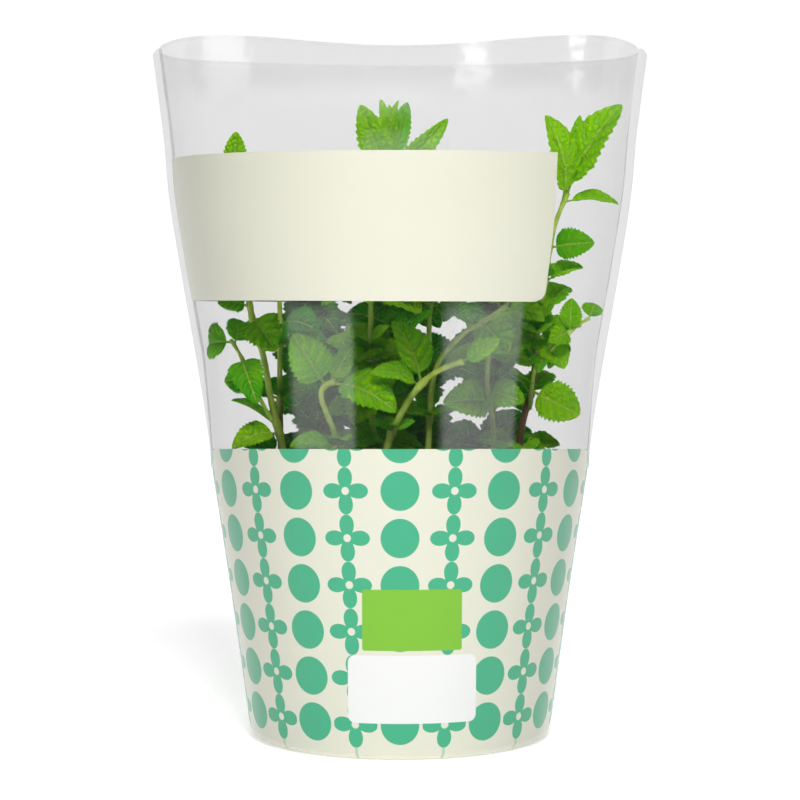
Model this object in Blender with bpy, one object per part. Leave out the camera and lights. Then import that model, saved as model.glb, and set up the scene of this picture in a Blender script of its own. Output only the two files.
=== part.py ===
"""A pot of mint in a tapered film sleeve, as sold in a shop.

The plant stands in the soil of a plastic grow pot. A thin film sleeve, printed up to
the pot's rim and clear above it, wraps the pot and flares up round the shoots.
X is to the right, -Y is the front and +Z is up. Lengths are in millimetres until MM.
"""

import math

import bmesh
import bpy
from mathutils import Vector, noise

MM = 0.001
GAP = 0.3  # kept between pieces that touch
TURN_SIDES = 28  # sides of everything that goes round the pot's axis

# The film sleeve: height, half width and half depth of its outside, from the foot up
FILM = 0.35
FOOT_RADIUS = 47.7
FOOT_ROUND = 4.5
VENT_RADIUS = 9.0
SLEEVE_SIZES = (
    (4.5, 52.2, 52.2),
    (47.5, 58.0, 58.0),
    (88.8, 64.0, 64.0),
    (114.6, 67.6, 66.6),
    (135.0, 70.9, 68.6),
    (156.0, 74.5, 71.0),
    (186.8, 79.3, 74.2),
    (207.0, 81.0, 75.8),
    (240.4, 85.2, 78.6),
)
SLEEVE_LEVELS = (47.5, 88.8, 112.0, 135.0, 160.0, 186.8, 212.0)
# The mouth's edge: degrees from the front towards the right, and its height there
RIM = ((-180, 235.0), (-130, 239.3), (-90, 237.2), (-55, 235.8), (0, 235.6))
RIM += ((55, 235.8), (90, 237.6), (130, 240.4), (180, 235.0))
SEAM_WIDTH = 3.0  # the welded edge that stands out on each side
SEAM_START = 92.0
SEAM_FULL = 135.0

# The grow pot, a thin wall with a stepped collar
POT_FOOT_Z = FILM + GAP
POT_WALL = 1.0
POT_FOOT_ROUND = 3.8
POT_TOP = 90.5
POT_COLLAR_Z = 80.0
POT_STEP = 2.0  # from the neck up to the collar
POT_COLLAR_RADIUS = 63.2
POT_COLLAR_TAPER = 1.3
POT_NECK_RADIUS = 60.4
POT_LIP = 1.6
POT_FLOOR_LIFT = 2.5
POT_RING_RADIUS = 36.0  # inside this the floor is lifted clear of the ground
DRAIN_RADIUS = 3.2
DRAIN_HOLES = 6
DRAIN_SIDES = 6
DRAIN_CIRCLE = 24.0
DRAIN_TURN = 10.0  # degrees

# The soil
SOIL_EDGE_Z = 79.5
SOIL_CROWN = 2.4
SOIL_LUMP = 1.0
SOIL_LUMP_SIZE = 14.0
SOIL_RINGS = (0.2, 0.42, 0.62, 0.82)

# A shoot's stem is square, and steps up its path
STEM_SIDES = 4
STEM_STEPS = 7

# A leaf: a short stalk, then a pointed oval blade, folded a little along its midrib
STALK_SHARE = 0.12
STALK_HALF_WIDTH = 0.55
STALK_HALF_THICK = 0.5
BLADE_HALF_THICK = 0.4
BLADE_STATIONS = (0.1, 0.34, 0.62, 0.86)
SMALL_BLADE_STATIONS = (0.12, 0.48, 0.82)
BLADE_FOLD = 0.2
BLADE_BASE = 0.72  # below 1, the blade is widest nearer its base
BLADE_FULLNESS = 0.85  # below 1, its sides are fuller

# A pair of small leaves, rooted in the stem
PAIR_ARCH = 0.12
PAIR_FACE = (0, -0.6, 1)
PAIR_LEAN = 0.2  # how far the upper side turns towards the stem
PAIR_ROOT = 0.2  # the foot's distance from the stem's middle

COLOURS = {
    "film": (0.86, 0.85, 0.78),
    "pot": (0.03, 0.03, 0.03),
    "soil": (0.05, 0.035, 0.025),
    "stem": (0.30, 0.42, 0.12),
    "leaf": (0.13, 0.36, 0.05),
}

# The ways that a leaf's upper side can look
UP = (0, 0, 1)
FRONT = (0, -1, 0.3)
FRONT_UP = (0, -0.7, 0.7)
NEARLY_UP = (0, -0.45, 1)
FRONT_LEFT = (-0.6, -0.8, 0.3)
FRONT_RIGHT = (0.6, -0.8, 0.3)
BACK = (0, 1, 0.2)

# Each shoot has its path from the soil up, its radius at the foot and at the tip, its
# own leaves and the pairs of smaller leaves that are one piece with it.
# A leaf is its share of the way up the shoot, its tip, its width, the way its upper
# side looks and how high it arches as a share of its length.
# A pair is its share of the way up, the compass heading of one leaf of the two in
# degrees from +X, their length, their width and their rise above level in degrees.
SHOOTS = {
    "left": {
        "path": (
            (-37, -17, 80), (-40, -19, 102), (-43.5, -20, 117), (-46.5, -20, 134),
            (-50.5, -19, 148), (-54, -16, 172), (-56, -14.5, 192),
        ),
        "radius": (1.7, 0.9),
        "leaves": (
            (0.24, (-57, -27, 103), 10, FRONT_UP, 0.2),
            (0.27, (-57.5, -22, 119), 10, UP, 0.1),
            (0.60, (-41.5, -31, 137), 13.5, FRONT, 0.12),
            (0.64, (-62, -20, 152), 12, FRONT_UP, 0.15),
            (1.0, (-56.5, -15, 210), 8.5, FRONT, 0.0),
        ),
        "pairs": ((0.78, 80, 17, 11, 20), (0.93, 0, 12, 8, 30)),
    },
    "left_side": {
        "path": (
            (-43.8, -22.2, 112.5), (-47.5, -25, 120), (-51.5, -26, 129), (-54, -22, 134), (-57.5, -16, 139),
        ),
        "radius": (0.9, 0.7),
        "leaves": (
            (0.98, (-65.2, -10, 137), 13, FRONT, 0.2),
            (0.93, (-56, -13, 146), 11.5, FRONT_RIGHT, 0.1),
            (0.46, (-59.5, -28.5, 126.5), 10, FRONT, 0.1),
            (0.72, (-48.6, -34.5, 119), 12, FRONT, 0.28),
        ),
        "pairs": (),
    },
    "left_back": {
        "path": ((-41, 4, 80), (-41.5, 4, 120), (-41.5, 3, 150), (-44, 2, 180)),
        "radius": (1.6, 0.9),
        "leaves": (
            (0.62, (-28, -9, 141), 13, FRONT_UP, 0.15),
        ),
        "pairs": (
            (0.16, 60, 19, 13, -5), (0.36, 5, 15, 11, 12), (0.54, 75, 20, 14, 5), (0.78, 170, 18, 12, 15),
            (0.9, 80, 13, 9, 30), (0.985, 0, 9, 5, 60),
        ),
    },
    "curl": {
        "path": (
            (-19.5, -33, 80), (-21.5, -35, 106), (-25, -37, 117), (-26.6, -38, 122.6),
            (-25.2, -39, 126), (-21.8, -40, 127.6),
        ),
        "radius": (1.5, 1.1),
        "leaves": (
            (0.99, (-1, -50, 118.6), 15.5, FRONT_UP, 0.15),
            (0.93, (-36.5, -45, 144), 15, FRONT, 0.1),
            (0.98, (-16.5, -39, 139), 8, FRONT, 0.1),
        ),
        "pairs": ((0.46, 200, 17, 10, 5),),
    },
    "front": {
        "path": (
            (-7, -37, 80), (-4.4, -40, 105), (1, -42, 118), (6.4, -44, 126.3),
            (12.7, -45, 131.7), (21.1, -47, 135.2),
        ),
        "radius": (2.0, 1.1),
        "leaves": (
            (1.0, (33.4, -50, 143), 8, FRONT_LEFT, 0.0),
            (0.74, (-10, -50, 131.5), 9, FRONT_UP, 0.2),
            (0.76, (-1.5, -38, 148), 14.5, FRONT_RIGHT, 0.1),
        ),
        "pairs": ((0.45, 20, 9, 5, 20),),
    },
    "centre": {
        "path": ((-9, -8, 80), (-9.5, -9, 115), (-10, -9, 145), (-8, -10, 175), (-3, -10, 202)),
        "radius": (1.5, 0.9),
        "leaves": (
            (0.94, (-13.5, -20, 219.5), 12, FRONT, 0.1),
            (0.98, (3.5, -3, 219), 8, BACK, 0.05),
            (0.95, (16.7, -15, 214), 8, FRONT_RIGHT, 0.1),
            (0.62, (-26, -18, 166), 14, UP, 0.15),
            (0.62, (7, -16, 167), 13, UP, 0.15),
        ),
        "pairs": (
            (0.16, 160, 18, 13, 5), (0.42, 75, 20, 14, 5), (0.80, 95, 16, 11, 20), (0.985, 130, 21, 5, 76),
        ),
    },
    "mid_back": {
        "path": ((3, 13, 80), (2, 11, 120), (1.2, 9, 150), (-3, 12, 186)),
        "radius": (1.5, 0.9),
        "leaves": (
            (0.54, (-18, 13, 146), 16, FRONT_UP, 0.15),
            (0.50, (21, 12, 127), 13, FRONT_UP, 0.15),
        ),
        "pairs": ((0.19, 0, 20, 14, 0), (0.66, 90, 18, 12, 15), (0.84, 0, 14, 9, 25), (0.985, 90, 9, 5, 60)),
    },
    "upright": {
        "path": ((10, -7, 80), (10, -7, 115), (10.3, -6, 150), (14, -4, 186)),
        "radius": (1.5, 0.9),
        "leaves": (
            (0.70, (26, -19, 163), 14, UP, 0.15),
            (0.46, (26, -13, 126), 13, FRONT_UP, 0.15),
        ),
        "pairs": (
            (0.12, 25, 17, 12, 0), (0.66, 35, 18, 12, 10), (0.86, 60, 14, 9, 25), (0.985, 150, 9, 5, 60),
        ),
    },
    "slant": {
        "path": (
            (9, -22, 80), (10, -24, 112), (12.5, -25, 131), (21.3, -26, 142), (27, -26, 145.5),
            (36.3, -26, 151.8),
        ),
        "radius": (1.5, 0.9),
        "leaves": (
            (0.98, (49, -26, 147), 10, FRONT_UP, 0.2),
            (0.88, (37, -36, 137), 15, FRONT, 0.1),
            (1.0, (40, -36, 168), 12, FRONT, 0.1),
        ),
        "pairs": ((0.40, 20, 9, 6, 10),),
    },
    "pale": {
        "path": ((30, -12, 80), (32, -14, 104), (29.8, -16, 124), (30.3, -16, 137)),
        "radius": (1.4, 1.0),
        "leaves": (
            (0.66, (14.5, -33, 119.5), 14, FRONT, 0.1),
            (0.72, (42, -29, 119), 11.5, FRONT, 0.1),
        ),
        "pairs": ((0.93, 165, 15, 10, -10), (0.985, 80, 12, 7, 35)),
    },
    "right_top": {
        "path": (
            (39, -8, 80), (41.5, -10, 107), (45.5, -10, 123), (46.5, -10, 138), (49, -11, 155),
            (52.3, -12, 176), (57, -12, 189),
        ),
        "radius": (1.7, 0.9),
        "leaves": (
            (0.975, (48.5, -18, 215.5), 13.5, FRONT_RIGHT, 0.15),
            (1.0, (75.5, -12, 219), 15, FRONT_LEFT, 0.1),
            (0.97, (74.5, -12, 184.5), 8, NEARLY_UP, 0.12),
            (0.82, (66, -18, 173), 11, FRONT, 0.1),
            (0.985, (61.5, -4, 215), 6, FRONT, 0.05),
        ),
        "pairs": ((0.18, 100, 17, 12, 0), (0.54, 90, 19, 13, 10), (0.72, 170, 14, 9, 20)),
    },
    "right": {
        "path": (
            (44.4, -12.8, 115), (44.8, -17, 122), (46.5, -20, 131.5), (52, -19, 136.5), (60, -16, 143.6),
            (64.5, -12, 146),
        ),
        "radius": (0.9, 0.7),
        "leaves": (
            (0.18, (61, -21, 113.5), 14.5, FRONT, 0.05),
            (0.78, (58.5, -18, 153.5), 8, FRONT, 0.1),
            (0.76, (50, -26, 140), 8, FRONT, 0.1),
            (1.0, (66.4, -8.5, 150.8), 7.5, FRONT, 0.1),
        ),
        "pairs": ((0.5, 250, 8, 5, -40),),
    },
    "back_left": {
        "path": ((-27, 22, 80), (-29, 26, 115), (-33, 28, 150), (-35, 26, 183)),
        "radius": (1.6, 0.9),
        "leaves": ((0.51, (-51, 24, 141), 16, UP, 0.15),),
        "pairs": (
            (0.20, 80, 20, 14, 0), (0.42, 60, 21, 15, 5), (0.64, 100, 19, 13, 15), (0.80, 160, 16, 11, 20),
            (0.92, 70, 11, 8, 35), (0.985, 160, 9, 5, 60),
        ),
    },
    "back_right": {
        "path": ((29, 22, 80), (33, 26, 115), (36, 28, 148), (40, 27, 180)),
        "radius": (1.6, 0.9),
        "leaves": ((0.50, (54, 18, 140), 16, UP, 0.15),),
        "pairs": (
            (0.16, 180, 20, 14, 0), (0.42, 95, 21, 15, 5), (0.64, 80, 19, 13, 15), (0.80, 20, 16, 11, 20),
            (0.92, 110, 11, 8, 35), (0.985, 20, 9, 5, 60),
        ),
    },
    "back": {
        "path": ((1, 37, 80), (0, 41, 115), (2, 43, 150), (5, 42, 188)),
        "radius": (1.6, 0.9),
        "leaves": ((0.40, (20, 38, 128), 15, UP, 0.15),),
        "pairs": (
            (0.20, 20, 18, 12, 0), (0.62, 90, 18, 12, 10), (0.74, 0, 18, 12, 15), (0.84, 90, 14, 9, 25),
            (0.985, 0, 9, 5, 60),
        ),
    },
}


def clear_scene():
    for old in list(bpy.data.objects):
        bpy.data.objects.remove(old)


def material(name):
    """A plain finish for each kind of piece, made once."""
    made = bpy.data.materials.get(name)
    if made is None:
        made = bpy.data.materials.new(name)
        made.use_nodes = True
        shader = made.node_tree.nodes["Principled BSDF"]
        shader.inputs["Base Color"].default_value = (*COLOURS[name], 1)
        shader.inputs["Roughness"].default_value = 0.5
        made.diffuse_color = (*COLOURS[name], 1)
    return made


def add_object(name, bm, finish):
    """Turns a mesh in millimetres into a named object in metres."""
    bmesh.ops.scale(bm, vec=(MM, MM, MM), verts=bm.verts)
    bmesh.ops.recalc_face_normals(bm, faces=bm.faces)
    mesh = bpy.data.meshes.new(name)
    bm.to_mesh(mesh)
    bm.free()
    mesh.materials.append(material(finish))
    obj = bpy.data.objects.new(name, mesh)
    bpy.context.scene.collection.objects.link(obj)
    return obj


def hide_helper(obj):
    obj.hide_render = True
    obj.display_type = "WIRE"


def combine(obj, other, operation):
    change = obj.modifiers.new(other.name, "BOOLEAN")
    change.operation = operation
    change.solver = "EXACT"
    change.object = other


def bridge(bm, rings, closed_loop=False):
    """Quads between neighbouring rings of vertices."""
    pairs = list(zip(rings, rings[1:]))
    if closed_loop:
        pairs.append((rings[-1], rings[0]))
    for lower, upper in pairs:
        count = len(lower)
        for i in range(count):
            j = (i + 1) % count
            bm.faces.new((lower[i], lower[j], upper[j], upper[i]))


def curve_through(knots, at, column=1):
    """A smooth curve through knots of (at, value, ...)."""
    last = len(knots) - 1
    i = min(max(sum(1 for knot in knots if knot[0] <= at) - 1, 0), last - 1)

    def slope(n):
        before, after = knots[max(n - 1, 0)], knots[min(n + 1, last)]
        return (after[column] - before[column]) / (after[0] - before[0])

    low, high = knots[i], knots[i + 1]
    step = high[0] - low[0]
    t = (at - low[0]) / step
    return (
        (2 * t**3 - 3 * t**2 + 1) * low[column]
        + (t**3 - 2 * t**2 + t) * step * slope(i)
        + (3 * t**2 - 2 * t**3) * high[column]
        + (t**3 - t**2) * step * slope(i + 1)
    )


def circle(radius, z):
    angles = (2 * math.pi * i / TURN_SIDES for i in range(TURN_SIDES))
    return [Vector((radius * math.cos(a), radius * math.sin(a), z)) for a in angles]


def sleeve_point(i, z):
    """Point i of the sleeve's outline at height z. The two side points are the seams."""
    grown = min(1.0, max(0.0, (z - SEAM_START) / (SEAM_FULL - SEAM_START)))
    seam = SEAM_WIDTH * grown
    half_width = curve_through(SLEEVE_SIZES, z, 1) - seam
    half_depth = curve_through(SLEEVE_SIZES, z, 2)
    if i % (TURN_SIDES // 2) == 0:
        half_width += seam
    angle = 2 * math.pi * i / TURN_SIDES
    return Vector((half_width * math.cos(angle), half_depth * math.sin(angle), z))


def rim_point(i):
    from_front = 360 * i / TURN_SIDES + 90
    from_front = (from_front + 180) % 360 - 180
    return sleeve_point(i, curve_through(RIM, from_front))


def make_sleeve():
    """The film: a flat base with a vent, a rounded foot, the wall and its side seams."""
    diagonal = math.sqrt(0.5)
    outlines = [
        circle(VENT_RADIUS, 0),
        circle(FOOT_RADIUS, 0),
        circle(FOOT_RADIUS + FOOT_ROUND * diagonal, FOOT_ROUND * (1 - diagonal)),
        circle(FOOT_RADIUS + FOOT_ROUND, FOOT_ROUND),
    ]
    for z in SLEEVE_LEVELS:
        outlines.append([sleeve_point(i, z) for i in range(TURN_SIDES)])
    outlines.append([rim_point(i) for i in range(TURN_SIDES)])
    bm = bmesh.new()
    bridge(bm, [[bm.verts.new(p) for p in outline] for outline in outlines])
    sleeve = add_object("sleeve", bm, "film")
    wall = sleeve.modifiers.new("film", "SOLIDIFY")
    wall.thickness = FILM * MM
    wall.offset = -1
    wall.use_even_offset = True


def make_pot():
    """The pot's wall and floor, turned, with a ring of drain holes round a central one."""
    floor = POT_FOOT_Z + POT_FLOOR_LIFT
    foot_top = POT_FOOT_Z + POT_FOOT_ROUND
    wall_foot = FOOT_RADIUS + POT_FOOT_ROUND
    collar_foot = POT_COLLAR_RADIUS - POT_COLLAR_TAPER
    outside = [
        (DRAIN_RADIUS, floor),
        (POT_RING_RADIUS, floor),
        (POT_RING_RADIUS + POT_FLOOR_LIFT, POT_FOOT_Z),
        (FOOT_RADIUS, POT_FOOT_Z),
        (wall_foot, foot_top),
        (POT_NECK_RADIUS, POT_COLLAR_Z - POT_STEP),
        (collar_foot, POT_COLLAR_Z),
        (POT_COLLAR_RADIUS, POT_TOP),
    ]
    inside = [
        (POT_COLLAR_RADIUS - POT_LIP, POT_TOP),
        (collar_foot - POT_LIP, POT_COLLAR_Z + POT_WALL),
        (POT_NECK_RADIUS - POT_WALL, POT_COLLAR_Z - POT_WALL),
        (wall_foot - POT_WALL, floor + POT_WALL),
        (DRAIN_RADIUS, floor + POT_WALL),
    ]
    bm = bmesh.new()
    rings = [[bm.verts.new(p) for p in circle(r, z)] for r, z in outside + inside]
    bridge(bm, rings, closed_loop=True)
    pot = add_object("pot", bm, "pot")
    for i in range(DRAIN_HOLES):
        angle = math.radians(DRAIN_TURN + 360 * i / DRAIN_HOLES)
        centre = (DRAIN_CIRCLE * math.cos(angle), DRAIN_CIRCLE * math.sin(angle), floor)
        drill_bm = bmesh.new()
        bmesh.ops.create_cone(
            drill_bm, segments=DRAIN_SIDES, radius1=DRAIN_RADIUS, radius2=DRAIN_RADIUS,
            depth=4 * POT_WALL, cap_ends=True,
        )
        bmesh.ops.translate(drill_bm, vec=centre, verts=drill_bm.verts)
        drill = add_object(f"drill_{i}", drill_bm, "pot")
        hide_helper(drill)
        combine(pot, drill, "DIFFERENCE")


def soil_top(x, y):
    """The height of the soil: low at the wall, with small lumps."""
    share = min(1.0, math.hypot(x, y) / POT_NECK_RADIUS)
    lump = noise.noise(Vector((x, y, 0)) / SOIL_LUMP_SIZE)
    return SOIL_EDGE_Z + SOIL_CROWN * (1 - share**2) + SOIL_LUMP * lump


def make_soil():
    low_z = POT_FOOT_Z + POT_FLOOR_LIFT + POT_WALL + GAP
    low_radius = FOOT_RADIUS + POT_FOOT_ROUND - POT_WALL - 2 * GAP
    high_radius = POT_NECK_RADIUS - POT_WALL - 2 * GAP
    bm = bmesh.new()
    rings = [[bm.verts.new(p) for p in circle(low_radius, low_z)]]
    for share in (1.0, *reversed(SOIL_RINGS)):
        ring = []
        for p in circle(high_radius * share, 0):
            p.z = soil_top(p.x, p.y)
            if share == 1:
                p.z = min(p.z, POT_COLLAR_Z - POT_STEP)
            ring.append(bm.verts.new(p))
        rings.append(ring)
    bridge(bm, rings)
    bm.faces.new(rings[0])
    bm.faces.new(rings[-1])
    add_object("soil", bm, "soil")


def path_point(path, share):
    """A point and a direction on the smooth curve through a shoot's points."""
    points = [Vector(p) for p in path]
    lengths = [(b - a).length for a, b in zip(points, points[1:])]
    left = share * sum(lengths)
    i = 0
    while i < len(lengths) - 1 and left > lengths[i]:
        left -= lengths[i]
        i += 1
    t = min(1.0, left / lengths[i])
    before = points[i - 1] if i else 2 * points[0] - points[1]
    after = points[i + 2] if i + 2 < len(points) else 2 * points[-1] - points[-2]
    a, b = points[i], points[i + 1]
    near, far = (b - before) / 2, (after - a) / 2
    place = (
        a * (2 * t**3 - 3 * t**2 + 1)
        + near * (t**3 - 2 * t**2 + t)
        + b * (3 * t**2 - 2 * t**3)
        + far * (t**3 - t**2)
    )
    way = (
        a * (6 * t**2 - 6 * t)
        + near * (3 * t**2 - 4 * t + 1)
        + b * (6 * t - 6 * t**2)
        + far * (3 * t**2 - 2 * t)
    )
    return place, way.normalized()


def stem_radius(shoot, share):
    thick, thin = shoot["radius"]
    return thick + (thin - thick) * share


def make_stem(name, shoot):
    """A square tube that gets thinner up the shoot, with a blunt end."""
    bm = bmesh.new()
    across = Vector((1, 0, 0))
    rings = []
    for step in range(STEM_STEPS + 1):
        share = step / STEM_STEPS
        place, way = path_point(shoot["path"], share)
        across = (across - way * across.dot(way)).normalized()
        other = way.cross(across)
        ring = []
        for i in range(STEM_SIDES):
            angle = 2 * math.pi * (i + 0.5) / STEM_SIDES
            offset = across * math.cos(angle) + other * math.sin(angle)
            point = place + offset * stem_radius(shoot, share)
            if step == 0 and place.z < POT_TOP:
                point.z = SOIL_EDGE_Z + SOIL_CROWN + GAP
            ring.append(bm.verts.new(point))
        rings.append(ring)
    bridge(bm, rings)
    bm.faces.new(rings[0])
    bm.faces.new(rings[-1])
    return add_object(f"stem_{name}", bm, "stem")


def blade_half_width(share):
    """Half the blade's width as a share of its widest: a rounded base and a point."""
    return math.sin(math.pi * share**BLADE_BASE) ** BLADE_FULLNESS


def leaf_mesh(foot, tip, width, face, arch, blade_stations):
    """A leaf from its foot to its tip, with its upper side towards face."""
    along = tip - foot
    length = along.length
    along.normalize()
    up = (face - along * face.dot(along)).normalized()
    side = along.cross(up)
    stations = [(0.0, STALK_HALF_WIDTH, STALK_HALF_THICK)]
    if blade_stations == BLADE_STATIONS:
        stations.append((STALK_SHARE, STALK_HALF_WIDTH, STALK_HALF_THICK))
    for blade in blade_stations:
        share = STALK_SHARE + (1 - STALK_SHARE) * blade
        half = max(STALK_HALF_WIDTH, width / 2 * blade_half_width(blade))
        stations.append((share, half, BLADE_HALF_THICK))
    bm = bmesh.new()
    rings = []
    for share, half, half_thick in stations:
        middle = foot + along * length * share + up * arch * length * 4 * share * (1 - share)
        lift = up * BLADE_FOLD * (half - STALK_HALF_WIDTH)
        corners = (
            middle + side * half + lift,
            middle + up * half_thick,
            middle - side * half + lift,
            middle - up * half_thick,
        )
        rings.append([bm.verts.new(corner) for corner in corners])
    bridge(bm, rings)
    bm.faces.new(rings[0])
    end = bm.verts.new(tip)
    last = rings[-1]
    for i in range(4):
        bm.faces.new((last[i], last[(i + 1) % 4], end))
    return bm


def leaf_foot(shoot, at, towards, clear):
    """Where a leaf leaves its stem: on the side towards its tip, or past the stem's end."""
    place, way = path_point(shoot["path"], at)
    if at == 1:
        return place + way * clear
    reach = towards - place
    out = (reach - way * reach.dot(way)).normalized()
    return place + out * clear


def make_shoot(name, shoot):
    """The stem, the small leaves that are one piece with it, and its own leaves."""
    stem = make_stem(name, shoot)
    for i, (at, heading, length, width, rise) in enumerate(shoot["pairs"]):
        place, way = path_point(shoot["path"], at)
        for side in (0, 1):
            turn = math.radians(heading + 180 * side)
            level = Vector((math.cos(turn), math.sin(turn), 0))
            steep = math.radians(rise)
            tip = place + (level * math.cos(steep) + Vector(UP) * math.sin(steep)) * length
            foot = leaf_foot(shoot, at, tip, PAIR_ROOT)
            face = Vector(PAIR_FACE) - level * PAIR_LEAN
            bm = leaf_mesh(foot, tip, width, face, PAIR_ARCH, SMALL_BLADE_STATIONS)
            helper = add_object(f"small_{name}_{i}_{side}", bm, "leaf")
            hide_helper(helper)
            combine(stem, helper, "UNION")
    for i, (at, tip, width, face, arch) in enumerate(shoot["leaves"], 1):
        tip = Vector(tip)
        clear = STALK_HALF_WIDTH + GAP + (0 if at == 1 else stem_radius(shoot, at))
        foot = leaf_foot(shoot, at, tip, clear)
        bm = leaf_mesh(foot, tip, width, Vector(face), arch, BLADE_STATIONS)
        add_object(f"leaf_{name}_{i}", bm, "leaf")


clear_scene()
make_sleeve()
make_pot()
make_soil()
for shoot_name in SHOOTS:
    make_shoot(shoot_name, SHOOTS[shoot_name])
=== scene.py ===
"""The looks of a potted mint plant in a film sleeve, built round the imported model.

The pieces follow one another as the real thing is put together: pot, soil, stems, leaves,
then the sleeve that is pulled up round them.
X is to the right, -Y is the front and +Z is up. Lengths are in millimetres until MM.
"""

import math
import random

import bmesh
import bpy
from mathutils import Matrix, Vector


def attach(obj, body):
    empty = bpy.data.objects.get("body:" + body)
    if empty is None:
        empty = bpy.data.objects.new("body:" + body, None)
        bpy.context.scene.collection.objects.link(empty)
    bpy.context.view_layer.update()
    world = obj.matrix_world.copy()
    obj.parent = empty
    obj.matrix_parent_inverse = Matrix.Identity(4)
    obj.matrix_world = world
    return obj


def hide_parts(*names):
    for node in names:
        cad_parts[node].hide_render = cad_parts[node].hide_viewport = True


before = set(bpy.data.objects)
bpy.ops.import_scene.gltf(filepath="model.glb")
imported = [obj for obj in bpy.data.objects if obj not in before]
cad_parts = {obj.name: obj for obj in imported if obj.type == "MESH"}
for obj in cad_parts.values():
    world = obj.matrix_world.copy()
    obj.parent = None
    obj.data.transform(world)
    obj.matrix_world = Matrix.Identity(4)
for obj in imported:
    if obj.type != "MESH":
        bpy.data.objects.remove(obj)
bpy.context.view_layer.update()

MM = 0.001

# The grow pot: a thin wall of black plastic, formed by vacuum over a mould, with a
# stepped collar and a rolled lip. Its floor is lifted inside a standing ring and has
# seven drain holes, one in the middle and the others round it.

POT_SIDES = 112
# The wall from the middle hole out and up to the lip, and back down inside: radius and height
POT_OUTSIDE = (
    (3.2, 3.15), (36.0, 3.15), (37.2, 2.6), (38.0, 0.9), (39.0, 0.65), (48.2, 0.65),
    (50.2, 1.5), (51.3, 3.4), (60.2, 77.2), (60.9, 79.2), (61.9, 80.2), (63.1, 89.6), (63.0, 90.4),
)
POT_INSIDE = (
    (62.3, 90.5), (61.7, 89.8), (60.4, 81.3), (59.5, 80.4), (59.2, 78.6), (50.6, 4.3), (3.2, 4.15),
)
POT_SHARP_EDGE = math.radians(35)
DRAIN_RADIUS = 3.2
DRAIN_HOLES = 6
DRAIN_SIDES = 20
DRAIN_DEPTH = 4.0
DRAIN_CIRCLE = 24.0
DRAIN_TURN = 10.0  # degrees
POT_FLOOR_Z = 3.6


def feed(tree, socket, value):
    """Gives an input its value, or links it to the node that works it out."""
    if isinstance(value, Worked):
        value = value.socket
    if isinstance(value, bpy.types.NodeSocket):
        tree.links.new(value, socket)
    else:
        socket.default_value = value


def add(tree, kind, inputs=None, **settings):
    """Adds a node to a tree, with its settings and what goes into its inputs."""
    node = tree.nodes.new(kind)
    for name, value in settings.items():
        setattr(node, name, value)
    for name, value in (inputs or {}).items():
        feed(tree, node.inputs[name], value)
    return node


class Worked:
    """A number that a tree's nodes work out, so that its formula reads as one."""

    def __init__(self, tree, socket):
        self.tree = tree
        self.socket = socket

    def by(self, operation, *others):
        inputs = dict(enumerate((self, *others)))
        node = add(self.tree, "ShaderNodeMath", inputs, operation=operation)
        return Worked(self.tree, node.outputs[0])

    def __add__(self, other):
        return self.by("ADD", other)

    def __sub__(self, other):
        return self.by("SUBTRACT", other)

    def __mul__(self, other):
        return self.by("MULTIPLY", other)

    def __truediv__(self, other):
        return self.by("DIVIDE", other)

    def __pow__(self, other):
        return self.by("POWER", other)

    def __rsub__(self, other):
        return self * -1 + other

    __radd__ = __add__
    __rmul__ = __mul__

    def size(self):
        return self.by("ABSOLUTE")

    def sine(self):
        return self.by("SINE")

    def within(self, low, high):
        return self.by("MAXIMUM", low).by("MINIMUM", high)

    def rise(self, low, high):
        """0 up to low and 1 past high, with a soft step between."""
        inputs = {"Value": self, "From Min": low, "From Max": high}
        step = add(self.tree, "ShaderNodeMapRange", inputs, interpolation_type="SMOOTHSTEP")
        return Worked(self.tree, step.outputs["Result"])


def new_finish(name):
    """A material, its tree and its main shader."""
    finish = bpy.data.materials.new(name)
    finish.use_nodes = True
    return finish, finish.node_tree, finish.node_tree.nodes["Principled BSDF"]


def place(tree):
    """Where a point of the piece is, in metres."""
    return add(tree, "ShaderNodeTexCoord").outputs["Object"]


def noise(tree, at, scale, detail=2.0, roughness=0.5):
    """Soft random patches, scale of them to the metre, as a number round 0.5."""
    inputs = {"Vector": at, "Scale": scale, "Detail": detail, "Roughness": roughness}
    return Worked(tree, add(tree, "ShaderNodeTexNoise", inputs).outputs[0])


def blend(tree, share, first, second):
    """A colour between two, each given as red, green and blue or worked out by nodes."""
    node = add(tree, "ShaderNodeMix", data_type="RGBA")
    feed(tree, node.inputs[0], share)
    for socket, colour in ((node.inputs[6], first), (node.inputs[7], second)):
        feed(tree, socket, (*colour, 1) if isinstance(colour, tuple) else colour)
    return node.outputs[2]


def bump(tree, shader, height, distance):
    """Low relief, distance deep in metres where height is 1."""
    node = add(tree, "ShaderNodeBump", {"Height": height, "Distance": distance})
    tree.links.new(node.outputs["Normal"], shader.inputs["Normal"])


def new_piece(name, mesh):
    piece = bpy.data.objects.new(name, mesh)
    bpy.context.scene.collection.objects.link(piece)
    return piece


def mesh_from(bm, name):
    mesh = bpy.data.meshes.new(name)
    bm.to_mesh(mesh)
    bm.free()
    return mesh


def evaluated_mesh(holder):
    """The plain mesh that an object's modifiers make."""
    bpy.context.view_layer.update()
    graph = bpy.context.evaluated_depsgraph_get()
    return bpy.data.meshes.new_from_object(holder.evaluated_get(graph), depsgraph=graph)


def hand_over(piece, slot, *nodes):
    """The piece rides on the part's one body and stands for these nodes."""
    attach(piece, "root")
    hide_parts(*nodes)


def ring(bm, radius, z, sides):
    """A level circle of points round the pot's axis."""
    turns = (2 * math.pi * i / sides for i in range(sides))
    return [bm.verts.new(Vector((radius * math.cos(a), radius * math.sin(a), z)) * MM) for a in turns]


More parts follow.
